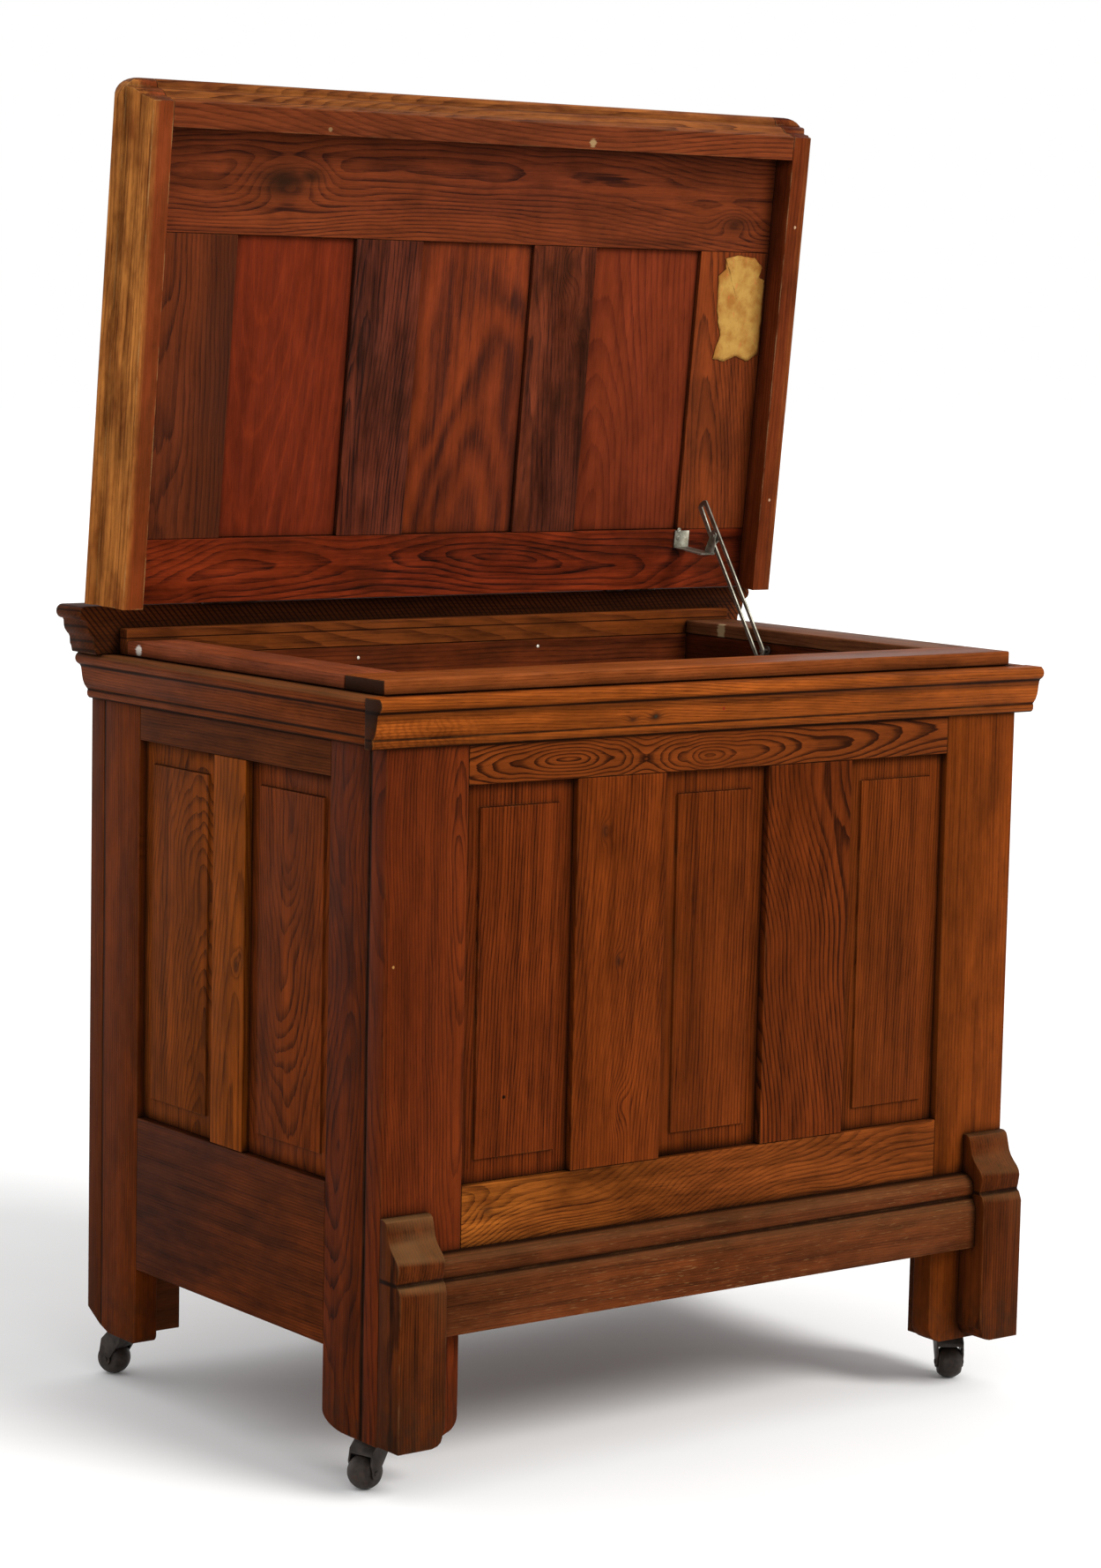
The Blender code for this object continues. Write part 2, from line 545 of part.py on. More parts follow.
def build_stay():
    """Slotted lid stay: bent bracket on the lid, arm hanging from its ear, guide pin on the wall."""
    qy, qz = closed_point(*STAY_Q)
    under = TOP_Z - LID_FRAME_T - GAP
    plate = 0.0015
    ear = STAY_X[0] - GAP
    shelf_y = lid_y(0.0520)
    bracket = box("stay_bracket", "nickel", 0.7900, ear, lid_y(0.0740), shelf_y, under - plate, under, 0)
    lug = [(shelf_y, qz + 0.0150), (shelf_y, qz - 0.0040)]
    lug += [(qy + 0.0060 * math.cos(a), qz + 0.0060 * math.sin(a))
            for a in [math.radians(-60 - 30 * i) for i in range(7)]]
    rivet_end = STAY_X[1] + GAP + 0.0012
    combine(bracket, [box_mesh(0.7900, ear, shelf_y - plate, shelf_y, qz - 0.0040, under, 0),
                      prism_mesh(lug, "x", ear - plate, ear),
                      rod_mesh(0.0024, ear - plate - 0.0010, rivet_end, "x", (qy, qz)),
                      rod_mesh(0.0042, STAY_X[1] + GAP, rivet_end, "x", (qy, qz))], "UNION")

    py, pz = STAY_P
    qy2, qz2 = STAY_Q
    length = math.hypot(qy2 - py, qz2 - pz)
    along = Vector(((qy2 - py) / length, (qz2 - pz) / length))
    across = Vector((-along.y, along.x))

    def place(a, b):
        p = Vector((py, pz)) + along * a + across * b
        return (p.x, p.y)

    tip, tail = length + STAY_ABOVE, -0.0105
    top_r, low_r = 0.0048, 0.0098
    outer = [place(tip - top_r + top_r * math.cos(t), top_r * math.sin(t))
             for t in [math.radians(-80 + 160 * i / 8) for i in range(9)]]
    outer += [place(tail + low_r - low_r * math.cos(t), low_r * math.sin(t))
              for t in [math.radians(80 - 160 * i / 8) for i in range(9)]]
    arm = prism("stay_arm", "nickel", outer, "x", *STAY_X)
    low_slot = [place(-0.0036, 0.0048), place(-0.0056, 0.0026), place(-0.0056, -0.0026), place(-0.0036, -0.0048),
                place(length - 0.0090, -0.0030), place(length - 0.0090, 0.0030)]
    top_slot = [place(length + 0.0080, 0.0022), place(length + 0.0080, -0.0022),
                place(tip - 0.0060, -0.0012), place(tip - 0.0060, 0.0012)]
    cutters = [prism_mesh(low_slot, "x", 0.80, 0.84), prism_mesh(top_slot, "x", 0.80, 0.84),
               rod_mesh(0.0028, 0.80, 0.84, "x", STAY_Q)]
    combine(arm, cutters, "DIFFERENCE")
    wall = THROAT[1] - GAP
    pin = finish("stay_wall_pin", rod_mesh(0.0025, STAY_X[1] + 0.0008, wall, "x", STAY_P), "steel", True)
    combine(pin, [rod_mesh(0.0060, wall - 0.0015, wall, "x", STAY_P)], "UNION")
    return [bracket]


# ---------------------------------------------------------------- casters
def build_casters():
    plate_top = FOOT_Z - GAP
    hub = WHEEL_R
    cheek_in, cheek_out = WHEEL_W / 2 + GAP, WHEEL_W / 2 + GAP + 0.0022
    wheel_outline = [(BORE_R, -WHEEL_W / 2), (0.0080, -WHEEL_W / 2)]
    wheel_outline += [(WHEEL_R * math.cos(math.radians(a)), WHEEL_R * math.sin(math.radians(a)))
                      for a in range(-44, 45, 11)]
    wheel_outline += [(0.0080, WHEEL_W / 2), (BORE_R, WHEEL_W / 2)]
    for name, cx, cy, heading in CASTERS:
        turn = Matrix.Translation(Vector((cx, cy, 0.0))) @ Matrix.Rotation(math.radians(heading), 4, "Z")
        fork = finish("caster_fork_" + name,
                      rod_mesh(0.0130, plate_top - 0.0035, plate_top, "z", (0.0, 0.0), 28), "iron")
        side = [(-0.0085, plate_top - 0.0010), (0.0095, plate_top - 0.0010), (0.0220, 0.0440), (0.0245, 0.0300)]
        side += arc(TRAIL, hub, 0.0070, 0.0070, 20, -200, 8)
        side += [(0.0040, 0.0290), (-0.0060, 0.0430)]
        parts = [prism_mesh(side, "y", -cheek_out, cheek_out)]
        combine(fork, parts, "UNION")
        tunnel = rod_mesh(WHEEL_R + 0.0012, -cheek_in, cheek_in, "x", (0.0, 0.0), 36)
        bmesh.ops.rotate(tunnel, verts=tunnel.verts, matrix=Matrix.Rotation(math.radians(90), 3, "Z"))
        bmesh.ops.translate(tunnel, verts=tunnel.verts, vec=Vector((TRAIL, 0.0, hub)))
        combine(fork, [tunnel], "DIFFERENCE")
        axle = rod_mesh(AXLE_R, -cheek_out - 0.0012, cheek_out + 0.0012, "x", (0.0, 0.0), 16)
        bmesh.ops.rotate(axle, verts=axle.verts, matrix=Matrix.Rotation(math.radians(90), 3, "Z"))
        bmesh.ops.translate(axle, verts=axle.verts, vec=Vector((TRAIL, 0.0, hub)))
        combine(fork, [axle], "UNION")
        fork.data.transform(turn)
        bm = lathe_mesh(wheel_outline, 36, "x")
        bmesh.ops.rotate(bm, verts=bm.verts, matrix=Matrix.Rotation(math.radians(90), 3, "Z"))
        bmesh.ops.translate(bm, verts=bm.verts, vec=Vector((TRAIL, 0.0, hub)))
        wheel = finish("caster_wheel_" + name, bm, "iron", True)
        wheel.data.transform(turn)


# ---------------------------------------------------------------- assembly
FINISHES = {
    "wood": ((0.235, 0.085, 0.026), 0.42, 0.0),
    "wood_mid": ((0.200, 0.072, 0.024), 0.42, 0.0),
    "wood_dark": ((0.150, 0.048, 0.018), 0.45, 0.0),
    "wood_gold": ((0.300, 0.120, 0.030), 0.40, 0.0),
    "wood_red": ((0.170, 0.035, 0.012), 0.38, 0.0),
    "zinc": ((0.420, 0.430, 0.420), 0.45, 0.9),
    "steel": ((0.300, 0.290, 0.270), 0.40, 1.0),
    "nickel": ((0.520, 0.520, 0.450), 0.35, 1.0),
    "iron": ((0.045, 0.042, 0.038), 0.55, 0.6),
    "paper": ((0.640, 0.500, 0.270), 0.85, 0.0),
}


def set_origin(ob, point):
    """Move an object's origin onto its joint axis without moving its shape."""
    ob.data.transform(Matrix.Translation(-point))
    ob.location = point


def main():
    clear_scene()
    build_front()
    build_left_side()
    build_right_side()
    build_back()
    build_base()
    build_cornice()
    build_coaming()
    build_rear_strip()
    build_inside()
    lid_parts = build_lid() + build_hinges() + build_stay()
    rotate_about_hinge(lid_parts, LID_OPEN)
    build_casters()

    centre = Matrix.Translation(Vector((-CENTRE_X, -CENTRE_Y, 0.0)))
    for ob in bpy.data.objects:
        ob.data.transform(centre)
        ob.data.update()
    hinge = Vector((0.0, HINGE_Y - CENTRE_Y, HINGE_Z))
    for ob in lid_parts:
        set_origin(ob, hinge)
    arm = bpy.data.objects["stay_arm"]
    set_origin(arm, Vector((STAY_X[0] - CENTRE_X, STAY_Q[0] - CENTRE_Y, STAY_Q[1])))
    for name, cx, cy, heading in CASTERS:
        a = math.radians(heading)
        set_origin(bpy.data.objects["caster_fork_" + name], Vector((cx - CENTRE_X, cy - CENTRE_Y, FOOT_Z)))
        hub = Vector((cx + TRAIL * math.cos(a) - CENTRE_X, cy + TRAIL * math.sin(a) - CENTRE_Y, WHEEL_R))
        set_origin(bpy.data.objects["caster_wheel_" + name], hub)


main()
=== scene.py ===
import json
import math

import bmesh
import bpy
import numpy as np
from mathutils import Matrix, Vector, noise


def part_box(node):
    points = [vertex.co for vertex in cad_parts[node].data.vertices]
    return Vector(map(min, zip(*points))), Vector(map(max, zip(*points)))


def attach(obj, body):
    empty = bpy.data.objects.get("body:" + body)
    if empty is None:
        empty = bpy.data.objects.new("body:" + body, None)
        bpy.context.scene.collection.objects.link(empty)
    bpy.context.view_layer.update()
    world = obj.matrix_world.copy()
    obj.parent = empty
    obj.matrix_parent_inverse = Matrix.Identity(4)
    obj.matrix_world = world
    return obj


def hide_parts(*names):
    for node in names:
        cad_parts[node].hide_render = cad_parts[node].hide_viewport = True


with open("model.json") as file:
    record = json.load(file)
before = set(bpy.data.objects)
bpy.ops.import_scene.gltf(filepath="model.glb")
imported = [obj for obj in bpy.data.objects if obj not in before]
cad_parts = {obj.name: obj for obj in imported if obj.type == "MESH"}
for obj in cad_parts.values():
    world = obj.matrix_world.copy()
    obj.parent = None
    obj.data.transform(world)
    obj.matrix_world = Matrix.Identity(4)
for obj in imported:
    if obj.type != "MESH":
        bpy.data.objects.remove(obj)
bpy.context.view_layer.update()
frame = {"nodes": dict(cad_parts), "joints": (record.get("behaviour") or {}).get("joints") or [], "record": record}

NODES = frame["nodes"]
BODY_OF = {n: b for b, ns in frame["record"]["behaviour"]["bodies"].items() for n in ns}
JOINTS = {j["name"]: j for j in frame["joints"]}
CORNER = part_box("stile_front_left")[0]
ORIGIN = Vector((CORNER.x, CORNER.y, 0.0))        # front left corner of the case, on the floor
HINGE = Vector(JOINTS["lid_hinge"]["pos_m"])
LID_ANGLE = math.radians(84.13)                   # from the open position to the shut one
CLOSE = Matrix.Translation(HINGE) @ Matrix.Rotation(LID_ANGLE, 4, "X") @ Matrix.Translation(-HINGE)
OPEN = CLOSE.inverted()
TO_OPEN_LID = OPEN @ Matrix.Translation(ORIGIN)   # case coordinates of the shut lid -> where it stands open
BOARD_ROUND = 0.0011                              # radius of a board's arrises
PANEL_ROUND = 0.0006


# -------------------------------- shader building
class Shader:
    """A Principled material with short helpers for wiring procedural nodes."""

    def __init__(self, name):
        self.mat = bpy.data.materials.new(name)
        self.mat.use_nodes = True
        self.tree = self.mat.node_tree
        self.out = self.tree.nodes["Principled BSDF"]

    def add(self, kind, **props):
        node = self.tree.nodes.new(kind)
        for key, value in props.items():
            setattr(node, key, value)
        return node

    def put(self, socket, value):
        if isinstance(value, bpy.types.NodeSocket):
            self.tree.links.new(value, socket)
        elif isinstance(value, (tuple, list, Vector)) and len(value) == 3 and socket.type == "RGBA":
            socket.default_value = (*value, 1.0)
        else:
            socket.default_value = value

    def math(self, op, a, b=0.0, c=0.0, clamp=False):
        node = self.add("ShaderNodeMath", operation=op, use_clamp=clamp)
        self.put(node.inputs[0], a)
        self.put(node.inputs[1], b)
        self.put(node.inputs[2], c)
        return node.outputs[0]

    def mul(self, a, b, clamp=False):
        return self.math("MULTIPLY", a, b, clamp=clamp)

    def mul_add(self, a, b, c, clamp=False):
        return self.math("MULTIPLY_ADD", a, b, c, clamp)

    def sub(self, a, b):
        return self.math("SUBTRACT", a, b)

    def vec(self, op, a, b=(0.0, 0.0, 0.0)):
        node = self.add("ShaderNodeVectorMath", operation=op)
        self.put(node.inputs[0], a)
        self.put(node.inputs[1], b)
        return node.outputs["Value" if op == "DOT_PRODUCT" else "Vector"]

    def noise(self, vector, scale, detail=2.0, rough=0.5, shift=0.0, colour=False):
        moved = self.vec("MULTIPLY", self.vec("ADD", vector, (shift, shift * 0.61, shift * 1.37)), scale)
        node = self.add("ShaderNodeTexNoise")
        self.put(node.inputs["Vector"], moved)
        self.put(node.inputs["Scale"], 1.0)
        self.put(node.inputs["Detail"], detail)
        self.put(node.inputs["Roughness"], rough)
        return node.outputs["Color" if colour else "Fac"]

    def wide(self, value, gain=2.2):
        """Spread a noise value over the whole range from 0 to 1."""
        return self.mul_add(value, gain, 0.5 - gain / 2, clamp=True)

    def ramp(self, value, stops):
        """Eased steps from place to place; a level is a grey or a colour."""
        node = self.add("ShaderNodeValToRGB")
        node.color_ramp.interpolation = "EASE"
        while len(node.color_ramp.elements) < len(stops):
            node.color_ramp.elements.new(0.5)
        for element, (place, level) in zip(node.color_ramp.elements, stops):
            colour = level if isinstance(level, (tuple, list)) else (level,) * 3
            element.position = place
            element.color = (*colour, 1.0)
        self.put(node.inputs[0], value)
        return node.outputs[0]

    def curve(self, value, points):
        """A smooth function of value through (place, level) points."""
        if len(points) == 1:
            return points[0][1]
        low, high = points[0][0], points[-1][0]
        levels = [p[1] for p in points]
        base, span = min(levels), max(max(levels) - min(levels), 1e-6)
        place = self.math("DIVIDE", self.sub(value, low), high - low, clamp=True)
        stops = [((p - low) / (high - low), (level - base) / span) for p, level in points]
        return self.mul_add(self.ramp(place, stops), span, base)

    def mix(self, fac, a, b, blend="MIX"):
        colour_a, colour_b, colour_out = 6, 7, 2      # the mix node's sockets for colours
        node = self.add("ShaderNodeMix", data_type="RGBA", blend_type=blend)
        self.put(node.inputs[0], fac)
        self.put(node.inputs[colour_a], a)
        self.put(node.inputs[colour_b], b)
        return node.outputs[colour_out]

    def attribute(self, name, vector=False):
        node = self.add("ShaderNodeAttribute", attribute_name=name)
        return node.outputs["Vector" if vector else "Fac"]

    def crevice(self, distance, low=0.25, high=0.85):
        """1 deep in joints and corners, 0 in the open: an occlusion mask, used for painted shade."""
        node = self.add("ShaderNodeAmbientOcclusion", samples=4)
        node.inputs["Distance"].default_value = distance
        return self.sub(1.0, self.ramp(node.outputs["AO"], [(low, 0.0), (high, 1.0)]))

    def arris(self, radius=0.0025):
        """1 on an edge, 0 on a flat."""
        soft = self.add("ShaderNodeBevel", samples=4)
        soft.inputs["Radius"].default_value = radius
        plain = self.add("ShaderNodeNewGeometry")
        dot = self.vec("DOT_PRODUCT", soft.outputs[0], plain.outputs["Normal"])
        return self.mul(self.sub(1.0, dot), 6.0, clamp=True)

    def bump(self, height, strength, distance):
        node = self.add("ShaderNodeBump")
        self.put(node.inputs["Strength"], strength)
        self.put(node.inputs["Distance"], distance)
        self.put(node.inputs["Height"], height)
        self.tree.links.new(node.outputs[0], self.out.inputs["Normal"])

    def finish(self, colour, rough, metallic, specular, sheen=(1.0, 1.0, 1.0)):
        self.out.inputs["Specular Tint"].default_value = (*sheen, 1.0)
        self.put(self.out.inputs["Base Color"], colour)
        self.put(self.out.inputs["Roughness"], rough)
        self.out.inputs["Metallic"].default_value = metallic
        self.out.inputs["Specular IOR Level"].default_value = specular
        return self.mat


# darkness over one growth ring, from the pith side outwards
LATEWOOD = ((0.0, 0.05), (0.45, 0.12), (0.8, 0.75), (0.93, 1.0), (1.0, 0.05))
SOFT = ((0.0, 0.0), (0.5, 1.0), (1.0, 0.0))
PALE = ((0.0, 0.55), (0.12, 0.0), (0.24, 0.55), (0.8, 0.75), (1.0, 0.55))
# colours of age, and of painted shade in corners and undercuts, the same on every board
JOINT_AND_UNDERCUT_SHADE = (0.006, 0.0025, 0.0015)
PAINTED_CORNER_SHADE = (0.01, 0.004, 0.002)
SAWN = (0.012, 0.005, 0.003)
STAIN = (0.018, 0.006, 0.003)
END_GRAIN = (0.02, 0.008, 0.004)
KNOT = (0.022, 0.008, 0.004)
SCUFF = (0.02, 0.01, 0.005)
DUST = (0.15, 0.072, 0.027)
FLECK = (0.19, 0.095, 0.035)


def wood(name, light, dark, mid=((0.0, -0.3),), depth=((0.0, 0.05),), spacing=0.0034, contrast=0.55,
         fibre=0.8, mottle=0.35, wander=0.006, tint=(0.2, 0.036, 0.004), tinted=0.3, knots=(), marks=(),
         corner_shade=0.9, wear=0.25, worn=(0.24, 0.095, 0.028), rough=0.46, flecks=0.0, saw=0.0, seed=1.0,
         stain=0.0, ripple=None, stops=LATEWOOD, lines=(), dust=0.0, ends=0.55, foot=0.0, fade=None):
    """Stained wood in board coordinates: u along the grain, v across it, w through the thickness.
    Growth rings are cylinders round a pith line whose place across the board (mid) and depth behind its
    face (depth) change along the grain, so the face shows straight or arched figure.
    knots   (u, v, size, how far they push the rings, darkness of the core)
    lines   dark joints, and painted shade in undercuts: (axis, place, half width[, opacity])
    marks   dents, chips, nail holes: (u, v, w, size, colour), None where that axis doesn't matter
    fade    worn or differently stained region: (axis, full at, none at, colour, amount)
    ripple  curl at one end of the board: (reach, amount)
    ends    darkness of end grain, above 1 nearly black
    saw, flecks, stain, dust, foot, corner_shade, wear   amounts of sawn texture, rays, dark clouds, dust on
        flat faces, scuffs near the floor, painted shade in corners and rubbed edges (colour worn)"""
    s = Shader(name)
    p = s.attribute("grain", True)
    axes = s.add("ShaderNodeSeparateXYZ")
    s.put(axes.inputs[0], p)
    u, v, w = axes.outputs
    along = {"u": u, "v": v, "w": w}

    sway = s.add("ShaderNodeSeparateXYZ")
    s.put(sway.inputs[0], s.noise(p, (5.0, 13.0, 13.0), 2.0, 0.5, seed, True))
    dv = s.sub(v, s.curve(u, mid))
    dv = s.mul_add(s.sub(sway.outputs[0], 0.5), wander * 2, dv)
    dw = s.math("ADD", w, s.curve(u, depth))
    dw = s.mul_add(s.sub(sway.outputs[1], 0.5), wander * 2, dw)
    radius = s.math("SQRT", s.math("ADD", s.mul(dv, dv), s.mul(dw, dw)))
    blot = 0.0
    for ku, kv, size, push, shade in knots:
        du = s.mul(s.sub(u, ku), 0.55 / size)
        dk = s.mul(s.sub(v, kv), 1.0 / size)
        far = s.math("ADD", s.mul(du, du), s.mul(dk, dk))
        hill = s.math("POWER", 2.718, s.mul(far, -1.0))
        radius = s.mul_add(hill, push, radius)
        core = s.mul(s.math("POWER", hill, 2.2), shade)
        blot = s.math("MAXIMUM", blot, core)
    fine = s.noise(p, (9.0, 210.0, 210.0), 2.0, 0.6, seed + 3.1)
    phase = s.mul_add(fine, 0.35, s.math("DIVIDE", radius, spacing))
    ring = s.ramp(s.math("FRACT", phase), list(stops))
    patchy = s.wide(s.noise(p, (3.0, 11.0, 11.0), 3.0, 0.6, seed + 7.7))
    hair = s.wide(s.noise(p, (14.0, 560.0, 560.0), 2.0, 0.55, seed + 5.3))
    band = s.wide(s.noise(p, (2.0, 95.0, 95.0), 3.0, 0.6, seed + 9.9))
    broad = s.wide(s.noise(p, (2.0, 6.0, 6.0), 2.0, 0.5, seed + 1.9))
    shade = s.mul(ring, s.mul_add(patchy, contrast * 0.8, contrast * 0.5))
    shade = s.mul_add(s.sub(hair, 0.5), fibre * 0.55, shade)
    shade = s.mul_add(s.sub(band, 0.5), fibre * 0.75, shade)
    pores = s.ramp(s.noise(p, (70.0, 1500.0, 1500.0), 1.0, 0.5, seed + 11.0), [(0.58, 0.0), (0.7, 1.0)])
    shade = s.mul_add(pores, 0.28, shade)
    end = s.attribute("end")
    shade = s.mul_add(end, min(ends, 1.0), s.math("ADD", shade, 0.16), clamp=True)
    cloudy = s.wide(s.noise(p, (16.0, 46.0, 46.0), 3.0, 0.62, seed + 29.0), 2.6)
    pale = light
    if fade:
        axis, full, none, tone, amount = fade
        level = s.sub(along[axis], none)
        level = s.math("DIVIDE", level, full - none, clamp=True)
        patch = s.mul_add(cloudy, 0.9, 0.35, clamp=True)
        pale = s.mix(s.mul(s.mul(level, patch), amount), light, tone)
    colour = s.mix(shade, pale, dark)
    warm = s.mul(s.mul(broad, tinted), s.sub(1.0, shade))
    colour = s.mix(warm, colour, tint)
    gain = s.mul_add(s.sub(patchy, 0.5), mottle, 1.0)
    gain = s.mul_add(s.sub(cloudy, 0.5), 0.16 + mottle * 0.5, gain)
    colour = s.mix(1.0, colour, s.vec("MULTIPLY", (1.0, 1.0, 1.0), gain), "MULTIPLY")
    if ends > 1.0:
        colour = s.mix(s.mul(end, ends - 1.0), colour, END_GRAIN)
    if stain:
        cloud = s.ramp(s.noise(p, (7.0, 11.0, 11.0), 4.0, 0.65, seed + 21.0), [(0.48, 0.0), (0.66, 1.0)])
        colour = s.mix(s.mul(cloud, stain), colour, STAIN)
    if ripple:
        reach, amount = ripple
        slant = s.mul_add(v, 300.0, s.mul(u, 620.0))
        wave = s.mul_add(s.noise(p, (38.0, 90.0, 90.0), 3.0, 0.6, seed + 23.0), 16.0, slant)
        wave = s.ramp(s.mul_add(s.math("SINE", wave), 0.5, 0.5), [(0.35, 0.0), (0.9, 1.0)])
        near = s.ramp(s.math("DIVIDE", u, reach, clamp=True), [(0.4, 1.0), (1.0, 0.0)])
        wave = s.mul(wave, near)
        wave = s.mul(wave, s.curve(v, ((0.818, 1.0), (0.836, 0.8), (0.846, 0.0))))
        colour = s.mix(s.mul(wave, amount), colour, dark)
    if flecks:
        ray = s.ramp(s.noise(p, (60.0, 640.0, 640.0), 2.0, 0.5, seed + 13.0), [(0.6, 0.0), (0.72, 1.0)])
        ray = s.mul(ray, broad)
        colour = s.mix(s.mul(ray, flecks), colour, FLECK)
    if saw:
        slant = s.math("ADD", u, s.mul(v, 0.9))
        tooth = s.math("SINE", s.mul_add(patchy, 1.5, s.mul(slant, 820.0)))
        tooth = s.mul(s.ramp(tooth, [(0.15, 0.0), (0.8, 1.0)]), saw)
        colour = s.mix(tooth, colour, SAWN)
    if knots:
        colour = s.mix(s.mul(blot, 1.0, clamp=True), colour, KNOT)
    for *centre, size, tone in marks:
        far = 0.0
        for axis, middle in zip((u, v, w), centre):
            if middle is not None:
                step = s.sub(axis, middle)
                far = s.mul_add(step, step, far)
        far = s.mul_add(s.sub(hair, 0.5), size * 0.6, s.math("SQRT", far))
        dot = s.ramp(s.math("DIVIDE", far, size, clamp=True), [(0.55, 1.0), (0.95, 0.0)])
        colour = s.mix(dot, colour, tone)
    if foot:
        low = s.curve(u, ((0.05, 1.0), (0.075, 0.75), (0.15, 0.0)))
        scuff = s.wide(s.noise(p, (60.0, 90.0, 90.0), 4.0, 0.65, seed + 27.0), 3.0)
        colour = s.mix(s.mul(s.mul(low, scuff), foot), colour, SCUFF)
    if dust:
        facing = s.add("ShaderNodeSeparateXYZ")
        s.put(facing.inputs[0], s.add("ShaderNodeNewGeometry").outputs["Normal"])
        lying = s.ramp(facing.outputs[2], [(0.12, 0.0), (0.55, 1.0)])
        lying = s.mul(lying, s.mul_add(patchy, 0.8, 0.4, clamp=True))
        colour = s.mix(s.mul(lying, dust), colour, DUST)
    # dark lines: real joints, and painted shade in the moulding's undercuts
    for axis, place, half, *opacity in lines:
        near = s.math("ABSOLUTE", s.sub(along[axis], place))
        near = s.mul_add(s.sub(patchy, 0.5), -half, near)
        line = s.ramp(s.math("DIVIDE", near, half * 2, clamp=True), [(0.25, 1.0), (1.0, 0.0)])
        colour = s.mix(s.mul(line, opacity[0] if opacity else 0.92), colour, JOINT_AND_UNDERCUT_SHADE)
    edge = s.arris()
    rub = s.ramp(s.noise(p, (26.0, 60.0, 60.0), 3.0, 0.6, seed + 15.0), [(0.42, 0.0), (0.66, 1.0)])
    colour = s.mix(s.mul(s.mul(edge, rub), wear), colour, worn)
    # painted shade in joints, corners and recesses, from ambient occlusion
    deep = s.mul(s.crevice(0.014, 0.38, 0.95), corner_shade)
    colour = s.mix(deep, colour, PAINTED_CORNER_SHADE)
    height = s.mul_add(hair, 0.5, s.mul(ring, -0.35))
    height = s.mul_add(pores, -0.5, height)
    height = s.mul_add(s.noise(p, (22.0, 40.0, 40.0), 3.0, 0.5, seed + 17.0), 0.9, height)
    s.bump(height, 0.35, 0.00035)
    dull = s.mul_add(patchy, 0.22, s.mul_add(deep, 0.25, rough - 0.1), clamp=True)
    return s.finish(colour, dull, 0.0, 0.016, (1.0, 0.62, 0.35))


def metal(name, base, dark, rough, metallic, rust=None, amount=0.3, scale=1.0):
    """Worn metal with painted shade in the corners and bright rubbed edges."""
    s = Shader(name)
    p = s.attribute("grain", True)
    cloud = s.noise(p, (70.0 * scale,) * 3, 4.0, 0.6, 2.0)
    grit = s.noise(p, (900.0 * scale,) * 3, 2.0, 0.5, 4.0)
    colour = s.mix(s.ramp(cloud, [(0.35, 0.0), (0.68, 1.0)]), base, dark)
    if rust:
        spot = s.ramp(s.noise(p, (160.0 * scale,) * 3, 4.0, 0.7, 8.0), [(0.5, 0.0), (0.66, 1.0)])
        colour = s.mix(s.mul(spot, amount), colour, rust)
    edge = s.mul(s.arris(0.0012), 0.35)
    colour = s.mix(edge, colour, tuple(min(1.0, c * 1.8 + 0.02) for c in base))
    # painted shade in the corners, from ambient occlusion
    colour = s.mix(s.mul(s.crevice(0.006), 0.7), colour, (0.01, 0.008, 0.006))
    s.bump(s.mul_add(grit, 0.4, cloud), 0.3, 0.00025)
    return s.finish(colour, s.mul_add(cloud, 0.3, rough - 0.12, clamp=True), metallic, 0.4)


# -------------------------------- geometry helpers
def grain_frame(points, layout, lid):
    """Board coordinates (along, across, depth) of points given in the row frame."""
    out = np.empty_like(points)
    if lid:
        m = np.array(CLOSE)
        points = points @ m[:3, :3].T + m[:3, 3]
    local = points - np.array(ORIGIN)
    for i, letter in enumerate(layout):
        out[:, i] = local[:, "xyz".index(letter)]
    return out


def dress(ob, layout, lid=False):
    """Store the board coordinates and mark the end-grain faces."""
    mesh = ob.data
    co = np.empty(len(mesh.vertices) * 3, np.float64)
    mesh.vertices.foreach_get("co", co)
    co = co.reshape(-1, 3)
    grain = mesh.attributes.new("grain", "FLOAT_VECTOR", "POINT")
    grain.data.foreach_set("vector", grain_frame(co, layout, lid).astype(np.float32).ravel())
    normals = np.empty(len(mesh.polygons) * 3, np.float64)
    mesh.polygons.foreach_get("normal", normals)
    normals = normals.reshape(-1, 3)
    if lid:
        normals = normals @ np.array(CLOSE)[:3, :3].T
    along = np.abs(normals[:, "xyz".index(layout[0])])
    end = mesh.attributes.new("end", "FLOAT", "FACE")
    end.data.foreach_set("value", (along > 0.8).astype(np.float32))


def show(name, data):
    """An object for a mesh, a light or a camera, linked into the scene."""
    ob = bpy.data.objects.new(name, data)
    bpy.context.scene.collection.objects.link(ob)
    return ob


def bare(node):
    """A copy of a CAD node's mesh without its material."""
    mesh = NODES[node].data.copy()
    mesh.materials.clear()
    return mesh


def apply(ob):
    """Replace an object's mesh by what its modifiers make of it."""
    graph = bpy.context.evaluated_depsgraph_get()
    mesh = bpy.data.meshes.new_from_object(ob.evaluated_get(graph))
    ob.modifiers.clear()
    ob.data = mesh


